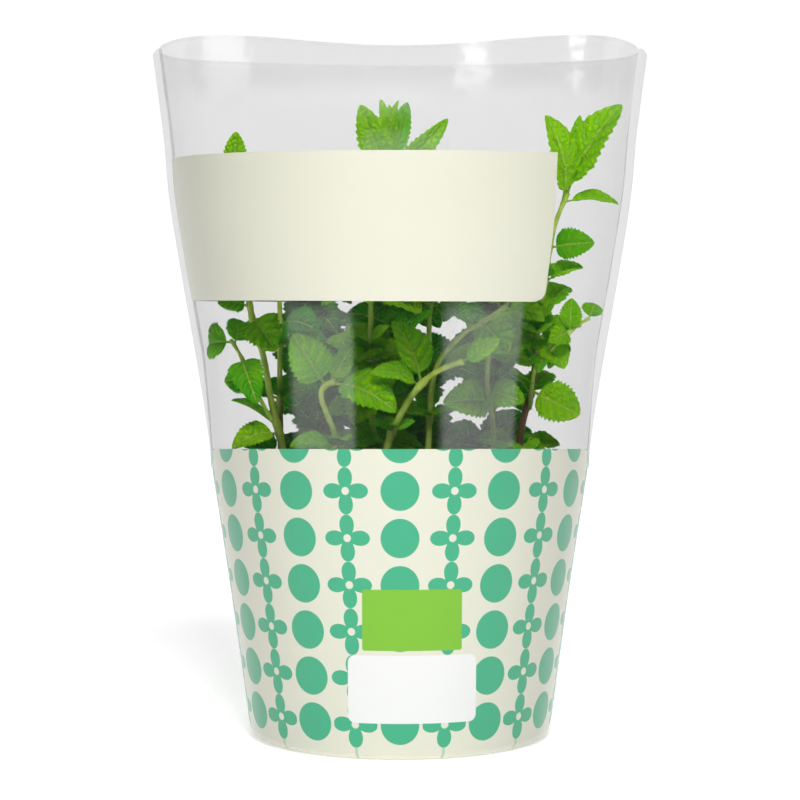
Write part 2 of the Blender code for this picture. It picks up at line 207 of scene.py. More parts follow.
def join_rings(bm, rings, closed=False):
    """Faces between each ring of points and the next, and back to the first where closed."""
    following = rings[1:] + rings[:1] if closed else rings[1:]
    for lower, upper in zip(rings, following):
        for i in range(len(lower)):
            j = (i + 1) % len(lower)
            bm.faces.new((lower[i], lower[j], upper[j], upper[i]))


def drilled_pot():
    """The pot's wall, turned round its axis and drilled through its floor."""
    bm = bmesh.new()
    join_rings(bm, [ring(bm, r, z, POT_SIDES) for r, z in POT_OUTSIDE + POT_INSIDE], closed=True)
    bmesh.ops.recalc_face_normals(bm, faces=bm.faces)
    wall = new_piece("pot_wall", mesh_from(bm, "pot_wall"))
    bm = bmesh.new()
    for i in range(DRAIN_HOLES):
        turn = math.radians(DRAIN_TURN + 360 * i / DRAIN_HOLES)
        spot = Vector((math.cos(turn) * DRAIN_CIRCLE, math.sin(turn) * DRAIN_CIRCLE, POT_FLOOR_Z)) * MM
        bmesh.ops.create_cone(
            bm, segments=DRAIN_SIDES, radius1=DRAIN_RADIUS * MM, radius2=DRAIN_RADIUS * MM,
            depth=DRAIN_DEPTH * MM, cap_ends=True, matrix=Matrix.Translation(spot),
        )
    drills = new_piece("drills", mesh_from(bm, "drills"))
    cut = wall.modifiers.new("holes", "BOOLEAN")
    cut.operation = "DIFFERENCE"
    cut.object = drills
    drilled = evaluated_mesh(wall)
    bpy.data.objects.remove(wall)
    bpy.data.objects.remove(drills)
    return drilled


black_plastic, tree, shader = new_finish("black_plastic")
scuffs = noise(tree, place(tree), 260.0, 4.0)
worn = blend(tree, scuffs.rise(0.45, 0.8), (0.012, 0.012, 0.013), (0.035, 0.034, 0.032))
feed(tree, shader.inputs["Base Color"], worn)
feed(tree, shader.inputs["Roughness"], scuffs * 0.3 + 0.28)
bump(tree, shader, noise(tree, place(tree), 900.0), 0.00004)

grow_pot = new_piece("grow_pot", drilled_pot())
grow_pot.data.materials.append(black_plastic)
grow_pot.data.shade_smooth()
grow_pot.data.set_sharp_from_angle(angle=POT_SHARP_EDGE)
hand_over(grow_pot, "pot", "pot")

# The soil: damp peat with bark crumbs, filled loose into the pot and settled, so that it
# is a little higher in the middle. Crumbs of all sizes lie on its top.

SOIL_EDGE_Z = 79.5
SOIL_CROWN = 2.4
SOIL_RADIUS = 59.0
SOIL_FOOT_RADIUS = 50.3
SOIL_FOOT_Z = 4.5
SOIL_RINGS = 26
SOIL_SIDES = 96
SOIL_HEAVE = 4.0
CRUMBS_TO_THE_SQUARE_METRE = 110000.0
LEAST_CRUMB = (0.4, 0.3, 0.25)  # half its length, width and thickness
LARGEST_CRUMB = (1.8, 1.1, 0.8)
CRUMB_KNOCK = 0.9

TREE_SOCKETS = {
    float: "NodeSocketFloat",
    int: "NodeSocketInt",
    bpy.types.Material: "NodeSocketMaterial",
}


def new_tree(name, sizes):
    """A tree of nodes that makes a mesh, with a named input for each size."""
    tree = bpy.data.node_groups.new(name, "GeometryNodeTree")
    tree.interface.new_socket("Geometry", in_out="INPUT", socket_type="NodeSocketGeometry")
    for size, value in sizes.items():
        kind = TREE_SOCKETS[type(value)]
        tree.interface.new_socket(size, in_out="INPUT", socket_type=kind).default_value = value
    tree.interface.new_socket("Geometry", in_out="OUTPUT", socket_type="NodeSocketGeometry")
    return tree, add(tree, "NodeGroupInput").outputs


def end_tree(tree, geometry):
    feed(tree, add(tree, "NodeGroupOutput").inputs[0], geometry)


def joined(tree, *geometries):
    """Meshes put together, the first one first."""
    heap = add(tree, "GeometryNodeJoinGeometry")
    for geometry in reversed(geometries):
        tree.links.new(geometry, heap.inputs[0])
    return heap.outputs[0]


def finished(tree, geometry, finish):
    """A mesh with its material."""
    inputs = {"Geometry": geometry, "Material": finish}
    return add(tree, "GeometryNodeSetMaterial", inputs).outputs[0]


def vector(tree, x, y, z):
    """A vector made of three numbers."""
    return add(tree, "ShaderNodeCombineXYZ", {0: x, 1: y, 2: z}).outputs[0]


def parted(tree, at):
    """A vector's three numbers."""
    return [Worked(tree, socket) for socket in add(tree, "ShaderNodeSeparateXYZ", {0: at}).outputs]


def grown(tree, start, sizes):
    """The plain mesh that a tree makes from a mesh with these sizes."""
    holder = new_piece("holder", start)
    growth = holder.modifiers.new("growth", "NODES")
    growth.node_group = tree
    for socket in tree.interface.items_tree:
        if socket.name in sizes:
            growth[socket.identifier] = sizes[socket.name]
    mesh = evaluated_mesh(holder)
    bpy.data.objects.remove(holder)
    return mesh


def soil_body():
    """The soil without its crumbs: a tapered plug with a low dome."""
    bm = bmesh.new()
    rings = [ring(bm, SOIL_FOOT_RADIUS, SOIL_FOOT_Z, SOIL_SIDES)]
    for i in range(SOIL_RINGS):
        share = 1 - i / SOIL_RINGS
        height = SOIL_EDGE_Z + SOIL_CROWN * (1 - share**2)
        rings.append(ring(bm, SOIL_RADIUS * share, height, SOIL_SIDES))
    join_rings(bm, rings)
    bm.faces.new(reversed(rings[0]))
    bm.faces.new(rings[-1])
    return mesh_from(bm, "soil_body")


peat, tree, shader = new_finish("peat")
lumps = noise(tree, place(tree), 420.0, 6.0, 0.65)
fibres = noise(tree, place(tree), 1500.0, 3.0)
damp = blend(tree, lumps.rise(0.35, 0.7), (0.010, 0.007, 0.005), (0.055, 0.034, 0.020))
damp = blend(tree, fibres.rise(0.62, 0.75), damp, (0.11, 0.075, 0.045))
feed(tree, shader.inputs["Base Color"], damp)
shader.inputs["Roughness"].default_value = 0.95
bump(tree, shader, lumps, 0.0015)

tree, given = new_tree("soil_top", {"Crumbs": CRUMBS_TO_THE_SQUARE_METRE, "Peat": peat})
here = add(tree, "GeometryNodeInputPosition").outputs[0]
on_top = parted(tree, here)[2].by("GREATER_THAN", (SOIL_EDGE_Z - 1) * MM)
heave = (noise(tree, here, 75.0, 3.0) - 0.5) * SOIL_HEAVE * MM
uneven = add(tree, "GeometryNodeSetPosition", {
    "Geometry": given["Geometry"], "Selection": on_top, "Offset": vector(tree, 0.0, 0.0, heave),
}).outputs[0]
spots = add(tree, "GeometryNodeDistributePointsOnFaces", {
    "Mesh": uneven, "Selection": on_top, "Density": given["Crumbs"], "Seed": 4,
})
crumbs = add(tree, "GeometryNodeInstanceOnPoints", {
    "Points": spots.outputs["Points"],
    "Instance": add(tree, "GeometryNodeMeshIcoSphere", {"Radius": MM, "Subdivisions": 1}).outputs[0],
    "Rotation": add(tree, "FunctionNodeRandomValue", {
        0: (0, 0, 0), 1: (math.tau, math.tau, math.tau), "Seed": 5,
    }, data_type="FLOAT_VECTOR").outputs[0],
    "Scale": add(tree, "FunctionNodeRandomValue", {
        0: LEAST_CRUMB, 1: LARGEST_CRUMB, "Seed": 6,
    }, data_type="FLOAT_VECTOR").outputs[0],
}).outputs[0]
real_crumbs = add(tree, "GeometryNodeRealizeInstances", {0: crumbs}).outputs[0]
jolt = add(tree, "ShaderNodeTexNoise", {"Scale": 900.0}).outputs["Color"]
centred = add(tree, "ShaderNodeVectorMath", {0: jolt, 1: (-0.5, -0.5, -0.5)}, operation="ADD")
knock = add(tree, "ShaderNodeVectorMath", {
    0: centred.outputs[0], "Scale": CRUMB_KNOCK * MM,
}, operation="SCALE").outputs[0]
knocked = add(tree, "GeometryNodeSetPosition", {"Geometry": real_crumbs, "Offset": knock}).outputs[0]
end_tree(tree, finished(tree, joined(tree, uneven, knocked), given["Peat"]))

soil = new_piece("potting_soil", grown(tree, soil_body(), {"Peat": peat}))
hand_over(soil, "soil", "soil")

# The stems: square as in all mints, soft, ridged along their corners and a little swollen
# where leaves sit. They are yellow green above and reddish brown on some older feet.

STEM_KNOTS = 96
JOINT_SWELLING = 0.35
JOINT_LENGTH = 1.6
# How brown stems are at their foot, from 0.1, green, to 0.7, all brown
BROWN_FEET = {
    "right_top": 1.9, "left_back": 0.8, "left": 0.5, "upright": 0.6, "mid_back": 0.5, "right": 0.4,
}
OTHER_FEET = 0.15

# The ways that a leaf's upper side can look
UP = (0, 0, 1)
FRONT = (0, -1, 0.3)
FRONT_UP = (0, -0.7, 0.7)
NEARLY_UP = (0, -0.45, 1)
FRONT_LEFT = (-0.6, -0.8, 0.3)
FRONT_RIGHT = (0.6, -0.8, 0.3)
BACK = (0, 1, 0.2)

# Each shoot has its path from the soil up, its radius at the foot and at the tip, its
# own leaves and the pairs of smaller leaves that grow on it.
# A leaf is its share of the way up the shoot, its tip, its width, the way its upper
# side looks and how high it arches as a share of its length.
# A pair is its share of the way up, the compass heading of one leaf of the two in
# degrees from +X, their length, their width and their rise above level in degrees.
SHOOTS = {
    "left": {
        "path": (
            (-37, -17, 80), (-40, -19, 102), (-43.5, -20, 117), (-46.5, -20, 134),
            (-50.5, -19, 148), (-54, -16, 172), (-56, -14.5, 192),
        ),
        "radius": (1.7, 0.9),
        "leaves": (
            (0.24, (-57, -27, 103), 10, FRONT_UP, 0.2),
            (0.27, (-57.5, -22, 119), 10, UP, 0.1),
            (0.60, (-41.5, -31, 137), 13.5, FRONT, 0.12),
            (0.64, (-62, -20, 152), 12, FRONT_UP, 0.15),
            (1.0, (-56.5, -15, 210), 8.5, FRONT, 0.0),
        ),
        "pairs": ((0.78, 80, 17, 11, 20), (0.93, 0, 12, 8, 30)),
    },
    "left_side": {
        "path": (
            (-43.8, -22.2, 112.5), (-47.5, -25, 120), (-51.5, -26, 129), (-54, -22, 134),
            (-57.5, -16, 139),
        ),
        "radius": (0.9, 0.7),
        "leaves": (
            (0.98, (-65.2, -10, 137), 13, FRONT, 0.2),
            (0.93, (-56, -13, 146), 11.5, FRONT_RIGHT, 0.1),
            (0.46, (-59.5, -28.5, 126.5), 10, FRONT, 0.1),
            (0.72, (-48.6, -34.5, 119), 12, FRONT, 0.28),
        ),
        "pairs": (),
    },
    "left_back": {
        "path": ((-41, 4, 80), (-41.5, 4, 120), (-41.5, 3, 150), (-44, 2, 180)),
        "radius": (1.6, 0.9),
        "leaves": (
            (0.62, (-28, -9, 141), 13, FRONT_UP, 0.15),
        ),
        "pairs": (
            (0.16, 60, 19, 13, -5), (0.36, 5, 15, 11, 12), (0.54, 75, 20, 14, 5),
            (0.78, 170, 18, 12, 15), (0.9, 80, 13, 9, 30), (0.985, 0, 9, 5, 60),
        ),
    },
    "curl": {
        "path": (
            (-19.5, -33, 80), (-21.5, -35, 106), (-25, -37, 117), (-26.6, -38, 122.6),
            (-25.2, -39, 126), (-21.8, -40, 127.6),
        ),
        "radius": (1.5, 1.1),
        "leaves": (
            (0.99, (-1, -50, 118.6), 15.5, FRONT_UP, 0.15),
            (0.93, (-36.5, -45, 144), 15, FRONT, 0.1),
            (0.98, (-16.5, -39, 139), 8, FRONT, 0.1),
        ),
        "pairs": ((0.46, 200, 17, 10, 5),),
    },
    "front": {
        "path": (
            (-7, -37, 80), (-4.4, -40, 105), (1, -42, 118), (6.4, -44, 126.3),
            (12.7, -45, 131.7), (21.1, -47, 135.2),
        ),
        "radius": (2.0, 1.1),
        "leaves": (
            (1.0, (33.4, -50, 143), 8, FRONT_LEFT, 0.0),
            (0.74, (-10, -50, 131.5), 9, FRONT_UP, 0.2),
            (0.76, (-1.5, -38, 148), 14.5, FRONT_RIGHT, 0.1),
        ),
        "pairs": ((0.45, 20, 9, 5, 20),),
    },
    "centre": {
        "path": ((-9, -8, 80), (-9.5, -9, 115), (-10, -9, 145), (-8, -10, 175), (-3, -10, 202)),
        "radius": (1.5, 0.9),
        "leaves": (
            (0.94, (-13.5, -20, 219.5), 12, FRONT, 0.1),
            (0.98, (3.5, -3, 219), 8, BACK, 0.05),
            (0.95, (16.7, -15, 214), 8, FRONT_RIGHT, 0.1),
            (0.62, (-26, -18, 166), 14, UP, 0.15),
            (0.62, (7, -16, 167), 13, UP, 0.15),
        ),
        "pairs": (
            (0.16, 160, 18, 13, 5), (0.42, 75, 20, 14, 5), (0.80, 95, 16, 11, 20),
            (0.985, 130, 21, 5, 76),
        ),
    },
    "mid_back": {
        "path": ((3, 13, 80), (2, 11, 120), (1.2, 9, 150), (-3, 12, 186)),
        "radius": (1.5, 0.9),
        "leaves": (
            (0.54, (-18, 13, 146), 16, FRONT_UP, 0.15),
            (0.50, (21, 12, 127), 13, FRONT_UP, 0.15),
        ),
        "pairs": (
            (0.19, 0, 20, 14, 0), (0.66, 90, 18, 12, 15), (0.84, 0, 14, 9, 25), (0.985, 90, 9, 5, 60),
        ),
    },
    "upright": {
        "path": ((10, -7, 80), (10, -7, 115), (10.3, -6, 150), (14, -4, 186)),
        "radius": (1.5, 0.9),
        "leaves": (
            (0.70, (26, -19, 163), 14, UP, 0.15),
            (0.46, (26, -13, 126), 13, FRONT_UP, 0.15),
        ),
        "pairs": (
            (0.12, 25, 17, 12, 0), (0.66, 35, 18, 12, 10), (0.86, 60, 14, 9, 25),
            (0.985, 150, 9, 5, 60),
        ),
    },
    "slant": {
        "path": (
            (9, -22, 80), (10, -24, 112), (12.5, -25, 131), (21.3, -26, 142), (27, -26, 145.5),
            (36.3, -26, 151.8),
        ),
        "radius": (1.5, 0.9),
        "leaves": (
            (0.98, (49, -26, 147), 10, FRONT_UP, 0.2),
            (0.88, (37, -36, 137), 15, FRONT, 0.1),
            (1.0, (40, -36, 168), 12, FRONT, 0.1),
        ),
        "pairs": ((0.40, 20, 9, 6, 10),),
    },
    "pale": {
        "path": ((30, -12, 80), (32, -14, 104), (29.8, -16, 124), (30.3, -16, 137)),
        "radius": (1.4, 1.0),
        "leaves": (
            (0.66, (14.5, -33, 119.5), 14, FRONT, 0.1),
            (0.72, (42, -29, 119), 11.5, FRONT, 0.1),
        ),
        "pairs": ((0.93, 165, 15, 10, -10), (0.985, 80, 12, 7, 35)),
    },
    "right_top": {
        "path": (
            (39, -8, 80), (41.5, -10, 107), (45.5, -10, 123), (46.5, -10, 138), (49, -11, 155),
            (52.3, -12, 176), (57, -12, 189),
        ),
        "radius": (1.7, 0.9),
        "leaves": (
            (0.975, (48.5, -18, 215.5), 13.5, FRONT_RIGHT, 0.15),
            (1.0, (75.5, -12, 219), 15, FRONT_LEFT, 0.1),
            (0.97, (74.5, -12, 184.5), 8, NEARLY_UP, 0.12),
            (0.82, (66, -18, 173), 11, FRONT, 0.1),
            (0.985, (61.5, -4, 215), 6, FRONT, 0.05),
        ),
        "pairs": ((0.18, 100, 17, 12, 0), (0.54, 90, 19, 13, 10), (0.72, 170, 14, 9, 20)),
    },
    "right": {
        "path": (
            (44.4, -12.8, 115), (44.8, -17, 122), (46.5, -20, 131.5), (52, -19, 136.5),
            (60, -16, 143.6), (64.5, -12, 146),
        ),
        "radius": (0.9, 0.7),
        "leaves": (
            (0.18, (61, -21, 113.5), 14.5, FRONT, 0.05),
            (0.78, (58.5, -18, 153.5), 8, FRONT, 0.1),
            (0.76, (50, -26, 140), 8, FRONT, 0.1),
            (1.0, (66.4, -8.5, 150.8), 7.5, FRONT, 0.1),
        ),
        "pairs": ((0.5, 250, 8, 5, -40),),
    },
    "back_left": {
        "path": ((-27, 22, 80), (-29, 26, 115), (-33, 28, 150), (-35, 26, 183)),
        "radius": (1.6, 0.9),
        "leaves": ((0.51, (-51, 24, 141), 16, UP, 0.15),),
        "pairs": (
            (0.20, 80, 20, 14, 0), (0.42, 60, 21, 15, 5), (0.64, 100, 19, 13, 15),
            (0.80, 160, 16, 11, 20), (0.92, 70, 11, 8, 35), (0.985, 160, 9, 5, 60),
        ),
    },
    "back_right": {
        "path": ((29, 22, 80), (33, 26, 115), (36, 28, 148), (40, 27, 180)),
        "radius": (1.6, 0.9),
        "leaves": ((0.50, (54, 18, 140), 16, UP, 0.15),),
        "pairs": (
            (0.16, 180, 20, 14, 0), (0.42, 95, 21, 15, 5), (0.64, 80, 19, 13, 15),
            (0.80, 20, 16, 11, 20), (0.92, 110, 11, 8, 35), (0.985, 20, 9, 5, 60),
        ),
    },
    "back": {
        "path": ((1, 37, 80), (0, 41, 115), (2, 43, 150), (5, 42, 188)),
        "radius": (1.6, 0.9),
        "leaves": ((0.40, (20, 38, 128), 15, UP, 0.15),),
        "pairs": (
            (0.20, 20, 18, 12, 0), (0.62, 90, 18, 12, 10), (0.74, 0, 18, 12, 15), (0.84, 90, 14, 9, 25),
            (0.985, 0, 9, 5, 60),
        ),
    },
}


def path_point(path, share):
    """A point and a direction on the smooth curve through a shoot's points."""
    points = [Vector(p) for p in path]
    lengths = [(b - a).length for a, b in zip(points, points[1:])]
    left = share * sum(lengths)
    i = 0
    while i < len(lengths) - 1 and left > lengths[i]:
        left -= lengths[i]
        i += 1
    t = min(1.0, left / lengths[i])
    before = points[i - 1] if i else 2 * points[0] - points[1]
    after = points[i + 2] if i + 2 < len(points) else 2 * points[-1] - points[-2]
    a, b = points[i], points[i + 1]
    near, far = (b - before) / 2, (after - a) / 2
    spot = (
        a * (2 * t**3 - 3 * t**2 + 1)
        + near * (t**3 - 2 * t**2 + t)
        + b * (3 * t**2 - 2 * t**3)
        + far * (t**3 - t**2)
    )
    way = (
        a * (6 * t**2 - 6 * t)
        + near * (3 * t**2 - 4 * t + 1)
        + b * (6 * t - 6 * t**2)
        + far * (3 * t**2 - 2 * t)
    )
    return spot, way.normalized()


def stem_radius(shoot, share):
    """Half the stem's thickness, share of the way up it."""
    thick, thin = shoot["radius"]
    return thick + (thin - thick) * share


def stem_line(name, shoot):
    """The stem's middle line as edges, with its radius and its brownness at each point."""
    joints = [grower[0] for grower in (*shoot["leaves"], *shoot["pairs"])]
    spots = [path_point(shoot["path"], i / STEM_KNOTS)[0] for i in range(STEM_KNOTS + 1)]
    length = sum((b - a).length for a, b in zip(spots, spots[1:]))
    line = bpy.data.meshes.new("stem_line")
    line.from_pydata([spot * MM for spot in spots], [(i, i + 1) for i in range(STEM_KNOTS)], [])
    radius = line.attributes.new("radius", "FLOAT", "POINT")
    brown = line.attributes.new("brown", "FLOAT", "POINT")
    for i in range(STEM_KNOTS + 1):
        share = i / STEM_KNOTS
        nearest = min(abs(share - at) for at in joints) * length
        swelling = 1 + JOINT_SWELLING * math.exp(-((nearest / JOINT_LENGTH) ** 2))
        radius.data[i].value = stem_radius(shoot, share) * swelling * MM
        brown.data[i].value = BROWN_FEET.get(name, OTHER_FEET) * max(0.0, 1 - 1.5 * share)
    return line


def attribute(tree, name):
    """A number that the mesh holds at each of its points."""
    return Worked(tree, add(tree, "ShaderNodeAttribute", attribute_name=name).outputs["Fac"])


stem_skin, tree, shader = new_finish("mint_stem")
streaks = noise(tree, place(tree), 240.0, 3.0)
green = blend(tree, streaks.rise(0.3, 0.75), (0.40, 0.58, 0.05), (0.64, 0.82, 0.15))
age = (attribute(tree, "brown") + (streaks - 0.5) * 0.5).rise(0.1, 0.7)
feed(tree, shader.inputs["Base Color"], blend(tree, age, green, (0.18, 0.09, 0.04)))
feed(tree, shader.inputs["Roughness"], streaks * 0.25 + 0.35)
shader.inputs["Subsurface Weight"].default_value = 0.15
shader.inputs["Subsurface Radius"].default_value = (0.4, 1.0, 0.2)
shader.inputs["Subsurface Scale"].default_value = 0.001
bump(tree, shader, noise(tree, place(tree), 1600.0, 2.0), 0.00012)


def tube_along(tree, line, profile):
    """A closed tube of this profile along a line of edges that holds its radius."""
    radius = add(tree, "GeometryNodeInputNamedAttribute", {"Name": "radius"}, data_type="FLOAT")
    return add(tree, "GeometryNodeCurveToMesh", {
        "Curve": add(tree, "GeometryNodeMeshToCurve", {"Mesh": line}).outputs[0],
        "Profile Curve": profile.outputs[0], "Scale": radius.outputs[0], "Fill Caps": True,
    }).outputs[0]


tree, given = new_tree("mint_stem", {"Side": math.sqrt(2), "Corner": 0.34, "Skin": stem_skin})
square = add(tree, "GeometryNodeCurvePrimitiveQuadrilateral", {
    "Width": given["Side"], "Height": given["Side"],
})
soft_square = add(tree, "GeometryNodeFilletCurve", {
    "Curve": square.outputs[0], "Radius": given["Corner"], "Limit Radius": True,
})
tube = tube_along(tree, given["Geometry"], soft_square)
smooth = add(tree, "GeometryNodeSetShadeSmooth", {"Geometry": tube}).outputs[0]
end_tree(tree, finished(tree, smooth, given["Skin"]))

for name, shoot in SHOOTS.items():
    line = stem_line(name, shoot)
    stem = new_piece(f"mint_stem_{name}", grown(tree, line, {"Skin": stem_skin}))
    hand_over(stem, "stem", f"stem_{name}")

# The leaves: thin blades with toothed edges, quilted between veins that sweep towards the
# tip, folded a little along a sunk midrib that stands out beneath. Each one grows from a
# short stalk. The upper side is a fresh green, darker with age, and carries painted shade in the
# grooves between its quilts and on the shoots deep at the back; beneath they are paler.

STALK_SHARE = 0.12
BLADE_BASE = 0.78
BLADE_FULLNESS = 0.62
STATIONS_PER_TOOTH = 4
TEETH_ON_A_BIG_LEAF = 11
TEETH_ON_A_SMALL_LEAF = 6
BLADE_HALF_THICK = 0.14
BLADE_FOLD = 0.32  # how high its sides rise, as a share of half its width
TOOTH_DEPTH = 0.22
QUILT_HEIGHT = 0.085  # as a share of its width
VEIN_SWEEP = 1.5
GROOVE_HALF_WIDTH = 0.8
GROOVE_DEPTH = 0.03
LEAF_ROOT = 0.6  # from the stem's middle, as a share of the stem's radius
MIDRIB_KNOTS = 14
MIDRIB_END = 0.96
SHARP_EDGE = math.radians(75)
PAIR_FACE = (0, -0.6, 1)
PAIR_LEAN = 0.2  # how far the upper side turns towards the stem
PAIR_ARCH = 0.12
# The side shoots' leaves round a pair: their heading from its first leaf, their size as a
# share of its and how much steeper they rise.
WHORL = (
    (82, 0.9, 12), (265, 0.85, 4), (38, 0.95, -36), (140, 0.9, -28), (215, 0.95, -42),
    (320, 0.9, -32), (60, 0.8, 42), (240, 0.75, 48), (12, 0.9, 26), (192, 0.85, 22),
)
BETWEEN_TURN = 50
BETWEEN_RISE = 20
LEAST_BUSHY_LEAF = 10  # round a pair of leaves that are no longer, only two more grow
LOWEST_DROOP = 98.0  # below this height no leaf points down
# Openings between the shoots, through which one looks from the front. Each is its middle,
# across and up, and its half sizes, on the plane through the pot's axis.
OPENINGS = (
    (6.5, 139, 4, 1.8), (17.9, 137.6, 1.4, 0.9), (23.7, 137, 2, 0.6), (14.2, 118, 0.6, 1.6),
    (21.5, 107.8, 3.6, 1.2), (28.5, 108, 4, 1.3), (33, 111.5, 3, 1.6), (-39.9, 147.2, 2, 3.6),
    (-36.6, 105.4, 2, 1), (-32.3, 124, 0.8, 2.5), (-22.4, 114.2, 1, 1), (-21.3, 105.7, 1.2, 1),
    (-11, 105, 1.2, 1), (-7.2, 101, 1.4, 1.2), (41, 127.6, 1.6, 0.8),
)
VIEWED_FROM = Vector((0, -1650, 315))  # where the camera stands
KEPT_CLEAR = 0.12  # as a share of a leaf's width
TURNS_TRIED = (0, 25, -25, 50, -50, 80, -80)
# The bushy shoots, each with the heights between which side shoots stand round its joints
BUSHY = {
    "centre": (80, 200), "mid_back": (80, 200), "upright": (80, 200), "back_left": (80, 200),
    "back_right": (80, 200), "back": (80, 200), "right_top": (122, 144),
}
# A dark green for old leaves, also painted shade on the leaves deep at the back of the clump
OLD_AND_SHADED_GREEN = (0.002, 0.10, 0.001)
LIGHT_THROUGH = (0.30, 0.90, 0.003)
SHARE_THROUGH = 0.33
# How bright a shoot's tip is, by its age and by painted light and shade: 1 is all young green, 0 mature
# and below 0 an old dark green. The shoots that stand in the light are lighter, and those deep at the
# back of the clump darker, than their age alone makes them
TIP_YOUTH_AND_PAINTED_LIGHT = {
    "left": 0.8, "left_side": 0.4, "curl": 0.6, "front": 0.75, "centre": 1.35, "right_top": 1.1,
    "right": 0.6, "slant": 0.7, "pale": 0.8, "left_back": -0.1, "mid_back": -0.5, "upright": 0.0,
    "back": -0.9, "back_left": -0.8, "back_right": -0.8,
}
# Leaves that are lighter or darker than the others of their shoot
OTHER_YOUTH = {"left_1": 1.1, "left_5": 1.2, "right_1": 1.1, "right_top_4": 0.35, "curl_2": 0.7}


def leaf_finish(name, mature, young, vein_colour, gloss):
    """One side of a leaf: its greens, its paler veins, the fine quilting between them and
    the light that comes through from the other side, with painted shade in the grooves between
    the quilts and painted light on their bulges."""
    finish, tree, shader = new_finish(name)
    across = attribute(tree, "across").size()
    bulge = (attribute(tree, "vein") * math.pi).sine().size()
    cells = add(tree, "ShaderNodeTexVoronoi", {
        "Vector": place(tree), "Scale": 520.0,
    }, feature="DISTANCE_TO_EDGE")
    cell = Worked(tree, cells.outputs["Distance"])
    lines = (1 - bulge.rise(0.0, 0.3)) * (1 - across ** 3) * 0.8
    lines = lines.by("MAXIMUM", (1 - cell.rise(0.0, 0.07)) * 0.25)
    rib = (1 - across.rise(0.03, 0.08)) * 0.9
    mottle = noise(tree, place(tree), 110.0, 3.0)
    # Painted light and shade: lighter green on the quilts' bulges and darker in the grooves between
    # them
    youth = attribute(tree, "youth") + (mottle - 0.5) * 1.6 + (bulge - 0.6) * 0.5
    green = blend(tree, youth.within(0, 1), mature, young)
    # Below 0, leaves darken to the old green, partly painted shade at the back of the clump
    green = blend(tree, (youth * -1).within(0, 1), green, OLD_AND_SHADED_GREEN)
    # Painted shade: darker green along the cell edges, most in the grooves between the quilts
    green = blend(tree, (1 - cell.rise(0.0, 0.3)) * (bulge * -0.3 + 0.65), green, mature)
    green = blend(tree, lines.by("MAXIMUM", rib), green, vein_colour)
    feed(tree, shader.inputs["Base Color"], green)
    feed(tree, shader.inputs["Roughness"], mottle * 0.3 + (gloss - 0.15))
    shader.inputs["Specular IOR Level"].default_value = 0.06
    bump(tree, shader, cell.by("MINIMUM", 0.3), 0.0013)
    glow = add(tree, "ShaderNodeBsdfTranslucent", {"Color": (*LIGHT_THROUGH, 1)})
    both = add(tree, "ShaderNodeMixShader", {
        0: SHARE_THROUGH, 1: shader.outputs[0], 2: glow.outputs[0],
    })
    tree.links.new(both.outputs[0], tree.nodes["Material Output"].inputs["Surface"])
    return finish


leaf_upper = leaf_finish(
    "leaf_upper", mature=(0.012, 0.49, 0.001), young=(0.52, 0.96, 0.002),
    vein_colour=(0.78, 0.95, 0.17), gloss=0.36,
)
leaf_under = leaf_finish(
    "leaf_under", mature=(0.07, 0.46, 0.015), young=(0.30, 0.72, 0.04),
    vein_colour=(0.52, 0.80, 0.08), gloss=0.55,
)

tree, given = new_tree("mint_leaf", {
    "Length": 0.024, "Width": 0.014, "Arch": 0.1, "Bend": 0.0, "Wave": 0.06, "Turn": 0.0,
    "Teeth": TEETH_ON_A_BIG_LEAF, "Columns": 19, "Veins": 5.0, "Youth": 0.3,
    "Upper": leaf_upper, "Underside": leaf_under,
})
length = Worked(tree, given["Length"])
width = Worked(tree, given["Width"])
stations = Worked(tree, given["Teeth"]) * STATIONS_PER_TOOTH + 1
grid = add(tree, "GeometryNodeMeshGrid", {
    "Size X": 1.0, "Size Y": 1.0, "Vertices X": given["Columns"], "Vertices Y": stations,
}).outputs[0]
across, along, _ = parted(tree, add(tree, "GeometryNodeInputPosition").outputs[0])
across = across * 2
along = (along + 0.5).within(0, 1)
aside = across.size()


def middle_height(share):
    """How high the leaf's middle line arches, share of the way from its foot to its tip."""
    return length * given["Arch"] * 4 * share * (1 - share)


def middle_aside(share):
    """How far the middle line bends sideways there."""
    return length * given["Bend"] * share * share


def stored(tree, geometry, **numbers):
    """Numbers kept in the mesh for its material."""
    for name, value in numbers.items():
        inputs = {"Geometry": geometry, "Name": name, "Value": value}
        node = add(tree, "GeometryNodeStoreNamedAttribute", inputs, data_type="FLOAT", domain="POINT")
        geometry = node.outputs[0]
    return geometry


tooth = (along * given["Teeth"]).by("FRACT") - 0.5
swell = (along * math.pi).sine().within(0, 1)
half = width * 0.5 * ((along ** BLADE_BASE) * math.pi).sine().within(0, 1) ** BLADE_FULLNESS
vein = along * given["Veins"] - aside ** 1.25 * VEIN_SWEEP
quilting = (vein * math.pi).sine().size() ** 0.7 * (aside * 5).within(0, 1) * (1 - aside ** 6)
groove = ((aside * half / (GROOVE_HALF_WIDTH * MM)) ** 2 + 1) ** -1
share = along * (1 - STALK_SHARE) + STALK_SHARE
edge_x = across * half * (tooth * swell ** 0.5 * aside ** 6 * TOOTH_DEPTH + 1)
wave = (along * 10 + given["Turn"] + across * 0.8).sine() * aside ** 2 * half * given["Wave"]
relief = (quilting * swell ** 0.5 * QUILT_HEIGHT - groove * swell * GROOVE_DEPTH) * width
sheet_x = edge_x + middle_aside(share)
sheet_z = middle_height(share) + aside * half * BLADE_FOLD + wave + relief
ends = (along * 30).within(0, 1) * ((1 - along) * 30).within(0, 1)
half_thick = (1 - aside ** 8) * ends * BLADE_HALF_THICK * MM


